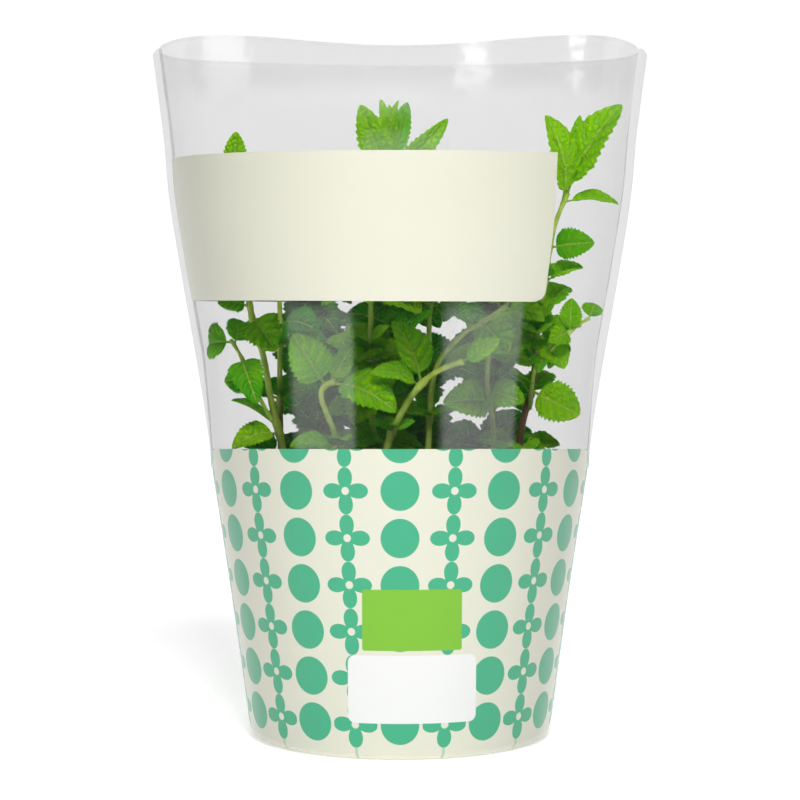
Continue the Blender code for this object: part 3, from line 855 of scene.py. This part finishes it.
def moved(tree, geometry, x, y, z):
    """A mesh with its points at new places."""
    inputs = {"Geometry": geometry, "Position": vector(tree, x, y, z)}
    return add(tree, "GeometryNodeSetPosition", inputs).outputs[0]


def blade_side(lift):
    """One side of the blade, lifted off its middle sheet."""
    return moved(tree, marked, sheet_x, share * length, sheet_z + lift)


marked = stored(tree, grid, along=along, across=across, vein=vein)
upper = finished(tree, blade_side(half_thick), given["Upper"])
turned = add(tree, "GeometryNodeFlipFaces", {"Mesh": blade_side(half_thick * -1)}).outputs[0]
both_sides = joined(tree, upper, finished(tree, turned, given["Underside"]))
blade = add(tree, "GeometryNodeMergeByDistance", {
    "Geometry": both_sides, "Distance": 1e-6,
}).outputs[0]

# The stalk, which runs on under the blade as its midrib
rib_knots = add(tree, "GeometryNodeMeshLine", {"Count": MIDRIB_KNOTS}).outputs[0]
knot = Worked(tree, add(tree, "GeometryNodeInputIndex").outputs[0])
down = knot / (MIDRIB_KNOTS - 1) * MIDRIB_END
rib_radius = (1 - down * 0.85) * width * 0.034 + 0.04 * MM
sunk = rib_radius * 0.85 + (down * math.pi).sine() * width * 0.03
sunk = ((down - STALK_SHARE) * 8).within(0, 1) * sunk
rib_line = moved(tree, rib_knots, middle_aside(down), down * length, middle_height(down) - sunk)
thick_line = stored(tree, rib_line, radius=rib_radius)
six_sided = add(tree, "GeometryNodeCurvePrimitiveCircle", {"Resolution": 6, "Radius": 1.0})
rib = stored(tree, tube_along(tree, thick_line, six_sided), across=0.0, vein=0.5)
pale_rib = finished(tree, rib, given["Underside"])
leaf = stored(tree, joined(tree, blade, pale_rib), youth=given["Youth"])
end_tree(tree, add(tree, "GeometryNodeSetShadeSmooth", {"Geometry": leaf}).outputs[0])
leaf_tree = tree

chance = random.Random(11)


def leaf_mesh(foot, tip, width, face, arch, youth, big=False):
    """A leaf from its foot to its tip, with its upper side towards face."""
    along = tip - foot
    sizes = {
        "Length": along.length * MM, "Width": width * MM, "Arch": arch, "Youth": youth,
        "Bend": chance.uniform(-0.05, 0.05), "Turn": chance.uniform(0, 6),
        "Wave": chance.uniform(0.03, 0.09), "Columns": 19 if big else 9,
        "Teeth": TEETH_ON_A_BIG_LEAF if big else TEETH_ON_A_SMALL_LEAF,
        "Upper": leaf_upper, "Underside": leaf_under,
    }
    mesh = grown(leaf_tree, bpy.data.meshes.new("blank"), sizes)
    mesh.set_sharp_from_angle(angle=SHARP_EDGE)
    along.normalize()
    up = (face - along * face.dot(along)).normalized()
    side = along.cross(up)
    turn = Matrix((side, along, up)).transposed().to_4x4()
    mesh.transform(Matrix.Translation(foot * MM) @ turn)
    return mesh


def leaf_foot(shoot, at, towards):
    """Where a leaf leaves its stem: on the side towards its tip, or at the stem's end."""
    spot, way = path_point(shoot["path"], at)
    if at == 1:
        return spot
    reach = towards - spot
    out = (reach - way * reach.dot(way)).normalized()
    return spot + out * stem_radius(shoot, at) * LEAF_ROOT


def leaf_youth(name, at):
    """Leaves are brighter near a shoot's tip, and on the shoots that stand in the light."""
    return TIP_YOUTH_AND_PAINTED_LIGHT[name] * (0.35 + 0.65 * at) + chance.uniform(-0.1, 0.1)


def pair_tip(shoot, at, heading, length, rise):
    """The tip of a small leaf by its compass heading and its rise above level, in degrees."""
    spot, _ = path_point(shoot["path"], at)
    rise = abs(rise) if spot.z < LOWEST_DROOP else rise
    turn, steep = math.radians(heading), math.radians(rise)
    level = Vector((math.cos(turn), math.sin(turn), 0))
    return spot + (level * math.cos(steep) + Vector(UP) * math.sin(steep)) * length


def pair_leaf(name, shoot, at, heading, length, width, rise):
    """A small leaf of a pair."""
    tip = pair_tip(shoot, at, heading, length, rise)
    turn = math.radians(heading)
    face = Vector(PAIR_FACE) - Vector((math.cos(turn), math.sin(turn), 0)) * PAIR_LEAN
    return leaf_mesh(leaf_foot(shoot, at, tip), tip, width, face, PAIR_ARCH, leaf_youth(name, at))


def fills_an_opening(foot, tip, width):
    """Whether a leaf would show in one of the openings."""
    for i in range(3, 11):
        spot = foot.lerp(tip, i / 10)
        seen = VIEWED_FROM + (spot - VIEWED_FROM) * (VIEWED_FROM.y / (VIEWED_FROM.y - spot.y))
        for x, z, half_wide, half_high in OPENINGS:
            across = (seen.x - x) / (half_wide + width * KEPT_CLEAR)
            up = (seen.z - z) / (half_high + width * KEPT_CLEAR)
            if across * across + up * up < 1:
                return True
    return False


def free_heading(shoot, at, heading, length, width, rise):
    """The first heading near the wanted one at which a leaf leaves the openings free."""
    spot, _ = path_point(shoot["path"], at)
    for turn in TURNS_TRIED:
        if not fills_an_opening(spot, pair_tip(shoot, at, heading + turn, length, rise), width):
            return heading + turn
    return None


def one_mesh(meshes, name):
    """Several meshes joined into one piece."""
    pieces = [new_piece(name, mesh) for mesh in meshes]
    with bpy.context.temp_override(active_object=pieces[0], selected_editable_objects=pieces):
        bpy.ops.object.join()
    return pieces[0]


def small_leaves(name, shoot):
    """A shoot's pairs of small leaves, with those of the side shoots round them. A bushy
    shoot has side shoots halfway between its pairs too."""
    leaves = []
    for at, heading, length, width, rise in shoot["pairs"]:
        leaves.append(pair_leaf(name, shoot, at, heading, length, width, rise))
        leaves.append(pair_leaf(name, shoot, at, heading + 180, length, width, rise))
    between = [
        ((low[0] + high[0]) / 2, low[1] + BETWEEN_TURN, low[2], low[3], BETWEEN_RISE)
        for low, high in zip(shoot["pairs"], shoot["pairs"][1:])
        if name in BUSHY
    ]
    lowest, highest = BUSHY.get(name, (0, 0))
    for at, heading, length, width, rise in (*shoot["pairs"], *between):
        height = path_point(shoot["path"], at)[0].z
        bushy = length > LEAST_BUSHY_LEAF and lowest < height < highest
        for turn, size, steeper in WHORL if bushy else WHORL[:2]:
            sizes = length * size, width * size, rise + steeper
            free = free_heading(shoot, at, heading + turn, *sizes)
            if free is not None:
                leaves.append(pair_leaf(name, shoot, at, free, *sizes))
    return leaves


for name, shoot in SHOOTS.items():
    for i, (at, tip, width, face, arch) in enumerate(shoot["leaves"], 1):
        tip = Vector(tip)
        youth = OTHER_YOUTH.get(f"{name}_{i}", leaf_youth(name, at))
        foot = leaf_foot(shoot, at, tip)
        mesh = leaf_mesh(foot, tip, width, Vector(face), arch, youth, big=True)
        hand_over(new_piece(f"mint_leaf_{name}_{i}", mesh), "leaf", f"leaf_{name}_{i}")
    small = small_leaves(name, shoot)
    if small:
        hand_over(one_mesh(small, f"small_leaves_{name}"), "leaf", f"stem_{name}")

# The sleeve: one thin film, welded along both sides and pulled up round the pot. It is
# printed opaque up to the pot's rim and clear above it, with a plain cream band round the
# front and the left. It flares upwards, and its mouth is cut in a gentle wave.

SLEEVE_SIZES = (
    (4.5, 52.2, 52.2),
    (47.5, 58.0, 58.0),
    (88.8, 64.0, 64.0),
    (114.6, 67.6, 66.6),
    (135.0, 70.9, 68.6),
    (156.0, 74.5, 71.0),
    (186.8, 79.3, 74.2),
    (207.0, 81.0, 75.8),
    (240.4, 85.2, 78.6),
)
SLEEVE_FOOT_Z = 4.5
SLEEVE_TOP_Z = 240.4
SHAPE_STEP = 2.0
SEAM_WIDTH = 3.0
SEAM_START = 92.0
SEAM_FULL = 135.0
SEAM_TOP = 237.4
SEAM_WAVE = 0.35
SEAM_ROWS = 74
CORNER_ROUND = 1.8
FOOT_RADIUS = 47.7
VENT_RADIUS = 9.0
FILM_THICK = 0.12
AROUND = 181
PRINT_TOP = (99.5, 8.6)  # height at the sides, and how much higher at the front
BAND_FOOT = (150.7, 7.2)
BAND_TOP = (199.5, 8.5)
BAND_ENDS = (-150.0, 42.0)  # degrees from the front towards the right
BAND_CORNER = 3.8
BAND_OUTWARDS = 0.15
MOUTH_HEIGHT = 237.0
MOUTH_WAVES = (-1.17, -1.05, 1.47, -0.67)  # one to four waves round the mouth


def smooth_through(knots, at, column):
    """A smooth curve through knots of (at, value, ...)."""
    last = len(knots) - 1
    i = min(max(sum(1 for knot in knots if knot[0] <= at) - 1, 0), last - 1)

    def slope(n):
        before, after = knots[max(n - 1, 0)], knots[min(n + 1, last)]
        return (after[column] - before[column]) / (after[0] - before[0])

    low, high = knots[i], knots[i + 1]
    step = high[0] - low[0]
    t = (at - low[0]) / step
    return (
        (2 * t**3 - 3 * t**2 + 1) * low[column]
        + (t**3 - 2 * t**2 + t) * step * slope(i)
        + (3 * t**2 - 2 * t**3) * high[column]
        + (t**3 - t**2) * step * slope(i + 1)
    )


def seam_width(z):
    """How wide the weld's flat fin stands out at this height."""
    return SEAM_WIDTH * min(1.0, max(0.0, (z - SEAM_START) / (SEAM_FULL - SEAM_START)))


def sleeve_shape():
    """Points that hold the sleeve's half width, half depth and height, one each SHAPE_STEP."""
    points = []
    z = SLEEVE_FOOT_Z
    while z <= SLEEVE_TOP_Z + SHAPE_STEP:
        wide = smooth_through(SLEEVE_SIZES, z, 1) - seam_width(z)
        points.append(Vector((wide, smooth_through(SLEEVE_SIZES, z, 2), z)) * MM)
        z += SHAPE_STEP
    mesh = bpy.data.meshes.new("sleeve_shape")
    mesh.from_pydata(points, [], [])
    return mesh


# Opaque print: columns of discs and of four-petalled flowers on cream, and two bare panels
PRINT_EDGE = 0.15  # half the softness of a printed edge
COLUMN_TURN = math.radians(180 / 11)
ROW_HEIGHT = 15.6
DISC = 6.5
PETAL_REACH = 7.8
PETAL_WAIST = 2.6
FLOWER_EYE = 1.3
CREAM = (0.77, 0.765, 0.64)
CREAM_SHADE = (0.75, 0.745, 0.61)
MINT_GREEN = (0.035, 0.43, 0.225)
LABEL_WHITE = (0.88, 0.88, 0.87)
LABEL_GREEN = (0.20, 0.53, 0.012)
# A dark green grey that paints shade on the print towards the sides
PAINTED_SIDE_SHADE = (0.04, 0.06, 0.04)
# A panel's middle, across and up, its half sizes and the radius of its corners
WHITE_LABEL = ((4.4, 19.8), (22.2, 11.4), 2.5)
GREEN_LABEL = ((4.2, 43.0), (17.0, 10.2), 0.8)


def rounded_box(across, up, middle, half, corner):
    """1 inside a box with round corners on the print, 0 outside."""
    aside = ((across - middle[0]).size() - (half[0] - corner)).by("MAXIMUM", 0)
    above = ((up - middle[1]).size() - (half[1] - corner)).by("MAXIMUM", 0)
    return 1 - ((aside * aside + above * above) ** 0.5).rise(corner - PRINT_EDGE, corner + PRINT_EDGE)


def with_painted_side_shade(tree, ink):
    """Ink with painted shade that darkens it towards the welded sides, away from the front, where less
    of the front light falls.
    """
    x, y, _ = parted(tree, place(tree))
    off_front = 1 - y.size() * (x * x + y * y) ** -0.5
    # Painted shade: up to halfway to the dark grey where the film turns away from the front
    return blend(tree, off_front.within(0, 0.55) * 0.5, ink, PAINTED_SIDE_SHADE)


def turn_from_front(x, y):
    """The angle round the pot's axis, from the front towards the right."""
    return x.by("ARCTAN2", y * -1)


printed_film, tree, shader = new_finish("printed_film")
x, y, _ = parted(tree, place(tree))
radius = (x * x + y * y) ** 0.5 * (1 / MM)
turn = turn_from_front(x, y)
rows = attribute(tree, "up") * (PRINT_TOP[0] / ROW_HEIGHT)
column = turn / COLUMN_TURN + 0.5
in_column = (column.by("FLOORED_MODULO", 1.0) - 0.5) * COLUMN_TURN * radius
in_row = (rows.by("FRACT") - 0.5) * ROW_HEIGHT
reach = (in_column * in_column + in_row * in_row) ** 0.5
heading = in_row.by("ARCTAN2", in_column)
petals = ((heading * 4).by("COSINE") * 0.5 + 0.5) ** 0.55 * (PETAL_REACH - PETAL_WAIST) + PETAL_WAIST
flower = (petals - reach).rise(-PRINT_EDGE, PRINT_EDGE)
flower = flower * (reach - FLOWER_EYE).rise(-PRINT_EDGE, PRINT_EDGE)
disc = (DISC - reach).rise(-PRINT_EDGE, PRINT_EDGE)
odd = column.by("FLOOR").by("FLOORED_MODULO", 2.0)
motif = disc * (1 - odd) + flower * odd
ink = blend(tree, motif, CREAM, MINT_GREEN)
across, up = turn * radius, attribute(tree, "up") * PRINT_TOP[0]
ink = blend(tree, rounded_box(across, up, *WHITE_LABEL), ink, LABEL_WHITE)
ink = blend(tree, rounded_box(across, up, *GREEN_LABEL), ink, LABEL_GREEN)
# The ink gets painted shade towards the sides.
feed(tree, shader.inputs["Base Color"], with_painted_side_shade(tree, ink))
shader.inputs["Roughness"].default_value = 0.32
shader.inputs["Coat Weight"].default_value = 0.25
shader.inputs["Coat Roughness"].default_value = 0.12
bump(tree, shader, noise(tree, place(tree), 34.0, 2.0), 0.0006)

cream_print, tree, shader = new_finish("cream_print")
cream = blend(tree, noise(tree, place(tree), 20.0), CREAM_SHADE, CREAM)
# The cream gets painted shade towards the sides.
feed(tree, shader.inputs["Base Color"], with_painted_side_shade(tree, cream))
shader.inputs["Roughness"].default_value = 0.32
bump(tree, shader, noise(tree, place(tree), 34.0, 2.0), 0.0006)

# Hazy strips on the clear film that paint soft reflections of the lights: from the left to the right in
# degrees from the front towards the right, lowest and highest in metres, and how much light they
# scatter
HAZE_AND_REFLECTION_STRIPS = (
    (-32, -13, 0.0, 0.155, 0.075), (12, 35, 0.0, 0.155, 0.08), (-9, 12, 0.19, 0.212, 0.06),
)


def film_finish(name, passed, haze, reflection_strips=(), rim_shine=0.0):
    """Clear film: nearly all light passes, a little is scattered and the shine grows
    towards grazing views."""
    finish, tree, _ = new_finish(name)
    x, y, height = parted(tree, place(tree))
    turn = turn_from_front(x, y) * (180 / math.pi)
    fog = noise(tree, place(tree), 26.0, 3.0) * haze * 2
    # Whiter haze at the top cut edge, partly real haze and partly a painted highlight of the edge
    fog = fog + (attribute(tree, "up") - 0.99).rise(0, 0.004) * 0.05
    # Painted reflections: white haze in strips where the lights would be mirrored
    for left, right, lowest, highest, strength in reflection_strips:
        reflection_strip = (turn - left).rise(-1.8, 1.8) * (right - turn).rise(-1.2, 1.2)
        reflection_strip = reflection_strip * (height - lowest).rise(-0.004, 0.004) * (highest - height).rise(-0.006, 0.004)
        fog = fog + reflection_strip * strength
    relief = add(tree, "ShaderNodeBump", {
        "Height": noise(tree, place(tree), 30.0, 3.0), "Distance": 0.002,
    }).outputs[0]
    slant = add(tree, "ShaderNodeLayerWeight", {"Blend": 0.5, "Normal": relief})
    facing = Worked(tree, slant.outputs["Facing"])
    shine = facing ** 6 * 0.1 + height.rise(0.216, 0.226) * rim_shine + 0.003
    # Besides the glassy dimming at grazing views, the film passes less light lower down: painted shade,
    # darker towards the foot of the clear window
    dimming = facing ** 3 * 0.17 + (0.235 - height).rise(0.0, 0.13) * 0.09
    dimmed = blend(tree, dimming, (passed, passed, passed), (0.6, 0.6, 0.6))
    dimmed = blend(tree, facing ** 12, dimmed, (1, 1, 1))
    clear = add(tree, "ShaderNodeBsdfTransparent", {0: dimmed}).outputs[0]
    white = add(tree, "ShaderNodeBsdfDiffuse", {0: (0.8, 0.8, 0.8, 1)}).outputs[0]
    glint = add(tree, "ShaderNodeBsdfGlossy", {"Roughness": 0.15, "Normal": relief}).outputs[0]
    misted = add(tree, "ShaderNodeMixShader", {0: fog.within(0, 0.9), 1: clear, 2: white}).outputs[0]
    film = add(tree, "ShaderNodeMixShader", {0: shine, 1: misted, 2: glint}).outputs[0]
    tree.links.new(film, tree.nodes["Material Output"].inputs["Surface"])
    return finish


clear_film = film_finish("clear_film", 0.932, 0.001, HAZE_AND_REFLECTION_STRIPS, rim_shine=0.07)
weld_film = film_finish("weld_film", 0.87, 0.03)

tree, given = new_tree("wrapped_film", {
    "Around": AROUND, "Levels": 44, "Left end": -180.0, "Right end": 180.0,
    "Foot": SLEEVE_FOOT_Z, "Foot rise": 0.0, "Top": PRINT_TOP[0], "Top rise": PRINT_TOP[1],
    "Up to the mouth": 0.0, "Corner": 0.0, "Outwards": 0.0, "Thickness": FILM_THICK,
    "Finish": printed_film,
})
grid = add(tree, "GeometryNodeMeshGrid", {
    "Size X": 1.0, "Size Y": 1.0, "Vertices X": given["Around"], "Vertices Y": given["Levels"],
}).outputs[0]
x, y, _ = parted(tree, add(tree, "GeometryNodeInputPosition").outputs[0])
round_share = x + 0.5
up_share = y + 0.5
corner = Worked(tree, given["Corner"])
left, right = Worked(tree, given["Left end"]), Worked(tree, given["Right end"])
straight_turn = (left + (right - left) * round_share) * (math.pi / 180)
lean = straight_turn.by("COSINE")
mouth = 0.0
for i, wave in enumerate(MOUTH_WAVES, 1):
    mouth = (straight_turn * i).by("COSINE") * wave + mouth
low = lean * given["Foot rise"] + given["Foot"]
to_mouth = Worked(tree, given["Up to the mouth"])
high = (lean * given["Top rise"] + given["Top"]) * (1 - to_mouth) + (mouth + MOUTH_HEIGHT) * to_mouth
height = low + (high - low) * up_share
cut = (corner - (height - low)).within(0, 100)
cut_back = corner - (corner * corner - cut * cut).within(0, 100) ** 0.5
turn = straight_turn - cut_back * round_share / 70
level = (height - SLEEVE_FOOT_Z) / SHAPE_STEP
level_below = level.by("FLOOR")
part = level - level_below


def shape_at(index):
    """The sleeve's half width and half depth at one level of its table."""
    position = add(tree, "GeometryNodeInputPosition").outputs[0]
    sample = add(tree, "GeometryNodeSampleIndex", {
        "Geometry": given["Geometry"], "Value": position, "Index": index,
    }, data_type="FLOAT_VECTOR")
    return parted(tree, sample.outputs[0])[:2]


wide_below, deep_below = shape_at(level_below)
wide_above, deep_above = shape_at(level_below + 1)
wide = wide_below + (wide_above - wide_below) * part
deep = deep_below + (deep_above - deep_below) * part
ripple = (turn * 3 + 0.6).sine() * 0.5 + (turn * 5 + 2.2).sine() * 0.35
ripple = ripple + (turn * 8 + height / 40 + 4).sine() * 0.25
ripple = ripple * ((height - 90) / 150).within(0, 1)
on_wall = vector(tree, wide * turn.sine(), deep * turn.by("COSINE"), height * MM)
dents = (noise(tree, on_wall, 26.0, 1.0) - 0.4) * ((height - 60) / 60).within(0.2, 1) * 1.6
ripple = ripple + dents
open_edges = (up_share * (1 - up_share) * 1e4).within(0, 1)
open_ends = (round_share * (1 - round_share) * 1e4 + (right - left).rise(359, 359.9)).within(0, 1)


def film_side(sign):
    """The film's outer or inner surface. Both meet at its cut edges."""
    half_thick = open_edges * open_ends * given["Thickness"] * sign * 0.5
    off = (half_thick + ripple + given["Outwards"]) * MM
    x, y = (wide + off) * turn.sine(), (deep + off) * turn.by("COSINE") * -1
    return moved(tree, marked, x, y, height * MM)


marked = stored(tree, grid, up=up_share)
inner = add(tree, "GeometryNodeFlipFaces", {"Mesh": film_side(-1)}).outputs[0]
closed = add(tree, "GeometryNodeMergeByDistance", {
    "Geometry": joined(tree, film_side(1), inner), "Distance": 1e-6,
}).outputs[0]
smooth = add(tree, "GeometryNodeSetShadeSmooth", {"Geometry": closed}).outputs[0]
end_tree(tree, finished(tree, smooth, given["Finish"]))
film_tree = tree


def sleeve_foot():
    """The film under the pot: flat round a vent, and rounded up into the wall."""
    outside = [(VENT_RADIUS, 0.0)]
    for i in range(9):
        angle = math.pi / 2 * i / 8
        radius = FOOT_RADIUS + SLEEVE_FOOT_Z * math.sin(angle)
        outside.append((radius, SLEEVE_FOOT_Z * (1 - math.cos(angle))))
    outside.append((52.3, 5.2))  # a little way up inside the wall
    inside = [(r - 0.1, z + 0.1) for r, z in reversed(outside)]
    bm = bmesh.new()
    join_rings(bm, [ring(bm, r, z, AROUND - 1) for r, z in outside + inside], closed=True)
    bmesh.ops.recalc_face_normals(bm, faces=bm.faces)
    return mesh_from(bm, "sleeve_foot")


def weld_fin(side):
    """A flat fin of two layers of film welded to each other, from the pot's rim to the mouth."""
    bm = bmesh.new()
    rows = []
    for i in range(SEAM_ROWS):
        z = SEAM_START + 1 + (SEAM_TOP - SEAM_START - 1) * i / (SEAM_ROWS - 1)
        outer = smooth_through(SLEEVE_SIZES, z, 1)
        inner = outer - seam_width(z) - 0.35
        over = max(0.0, z - SEAM_TOP + CORNER_ROUND)
        outer -= CORNER_ROUND - math.sqrt(max(0.0, CORNER_ROUND**2 - over**2))
        wave = SEAM_WAVE * math.sin(z / 9)
        section = ((inner, 0.25), (inner + 0.9, 0.18), (outer, 0.09))
        loop = [(x, wave + y) for x, y in section] + [(x, wave - y) for x, y in reversed(section)]
        rows.append([bm.verts.new(Vector((side * x, y, z)) * MM) for x, y in loop])
    join_rings(bm, rows)
    bm.faces.new(rows[0])
    bm.faces.new(rows[-1])
    bmesh.ops.recalc_face_normals(bm, faces=bm.faces)
    return mesh_from(bm, "weld_fin")


SLEEVE_PIECES = (
    ("printed_sleeve", {"Finish": printed_film}),
    ("clear_sleeve", {
        "Foot": PRINT_TOP[0], "Foot rise": PRINT_TOP[1], "Up to the mouth": 1.0, "Levels": 56,
        "Finish": clear_film,
    }),
    ("cream_band", {
        "Foot": BAND_FOOT[0], "Foot rise": BAND_FOOT[1], "Top": BAND_TOP[0], "Top rise": BAND_TOP[1],
        "Left end": BAND_ENDS[0], "Right end": BAND_ENDS[1], "Around": 145, "Levels": 60,
        "Corner": BAND_CORNER, "Outwards": BAND_OUTWARDS, "Finish": cream_print,
    }),
)
for name, sizes in SLEEVE_PIECES:
    piece = new_piece(name, grown(film_tree, sleeve_shape(), sizes))
    piece.data.set_sharp_from_angle(angle=SHARP_EDGE)
    hand_over(piece, "film", "sleeve")

for name, mesh, finish in (
    ("sleeve_foot", sleeve_foot(), printed_film),
    ("weld_left", weld_fin(-1), weld_film),
    ("weld_right", weld_fin(1), weld_film),
):
    piece = new_piece(name, mesh)
    piece.data.materials.append(finish)
    piece.data.shade_smooth()
    piece.data.set_sharp_from_angle(angle=SHARP_EDGE)
    hand_over(piece, "film", "sleeve")

# The stage: a white floor that sweeps up behind, faintly lit from within as a light table
# is, under broad soft lights from the front, both sides and above.

# In metres
FLOOR_HALF_WIDTH = 4.0
FLOOR_FRONT = -4.0
SWEEP_START = 1.6
SWEEP_RADIUS = 1.2
SWEEP_TOP = 3.6
SWEEP_STEPS = 24
LAMPS_LOOK_AT = Vector((0, 0, 0.12))
CAMERA_LOOKS_AT = Vector((0, 0, 0.1165))
LENS = 217.0


def sweep_mesh():
    """The floor, its curve up behind and the wall above that."""
    bm = bmesh.new()
    profile = [(FLOOR_FRONT, 0.0), (SWEEP_START, 0.0)]
    for i in range(1, SWEEP_STEPS + 1):
        angle = math.pi / 2 * i / SWEEP_STEPS
        y = SWEEP_START + SWEEP_RADIUS * math.sin(angle)
        profile.append((y, SWEEP_RADIUS * (1 - math.cos(angle))))
    profile.append((SWEEP_START + SWEEP_RADIUS, SWEEP_TOP))
    left = [bm.verts.new((-FLOOR_HALF_WIDTH, y, z)) for y, z in profile]
    right = [bm.verts.new((FLOOR_HALF_WIDTH, y, z)) for y, z in profile]
    for a, b, c, d in zip(left, right, right[1:], left[1:]):
        bm.faces.new((a, b, c, d))
    return mesh_from(bm, "sweep")


white_paper, tree, shader = new_finish("white_paper")
paper = blend(tree, noise(tree, place(tree), 3.0), (0.91, 0.91, 0.91), (0.93, 0.93, 0.93))
feed(tree, shader.inputs["Base Color"], paper)
shader.inputs["Roughness"].default_value = 0.9
shader.inputs["Emission Color"].default_value = (1, 1, 1, 1)
shader.inputs["Emission Strength"].default_value = 0.38

sweep = new_piece("sweep", sweep_mesh())
sweep.data.materials.append(white_paper)
sweep.data.shade_smooth()


def softbox(name, turn, rise, far, size, power):
    """A square soft light that looks at the plant, turn degrees from the front to the right."""
    lamp = bpy.data.lights.new(name, "AREA")
    lamp.shape = "RECTANGLE"
    lamp.size, lamp.size_y = size
    lamp.energy = power
    box = bpy.data.objects.new(name, lamp)
    bpy.context.scene.collection.objects.link(box)
    turn, rise = math.radians(turn), math.radians(rise)
    way = Vector((math.sin(turn) * math.cos(rise), -math.cos(turn) * math.cos(rise), math.sin(rise)))
    box.location = way * far + LAMPS_LOOK_AT
    box.rotation_euler = way.to_track_quat("Z", "Y").to_euler()
    return box


world = bpy.data.worlds.new("studio")
bpy.context.scene.world = world
world.use_nodes = True
world.node_tree.nodes["Background"].inputs["Color"].default_value = (1.0, 1.0, 1.0, 1)
world.node_tree.nodes["Background"].inputs["Strength"].default_value = 0.12
lights = [
    softbox("key", 4, 45, 1.7, (0.4, 0.4), 18.5),
    softbox("front_left", -36, 10, 1.7, (0.65, 0.3), 1.7),
    softbox("side_left", -94, 9, 1.3, (0.25, 0.2), 0.55),
    softbox("side_right", 99, 9, 1.3, (0.7, 0.28), 1.1),
    softbox("over_the_sweep", 180, 57, 2.8, (2, 2.4), 26),
]

lens = bpy.data.cameras.new("camera")
lens.lens = LENS
camera = bpy.data.objects.new("camera", lens)
bpy.context.scene.collection.objects.link(camera)
camera.location = VIEWED_FROM * MM
camera.rotation_euler = (CAMERA_LOOKS_AT - camera.location).to_track_quat("-Z", "Y").to_euler()
bpy.context.scene.camera = camera
bpy.context.scene.view_settings.view_transform = "Standard"
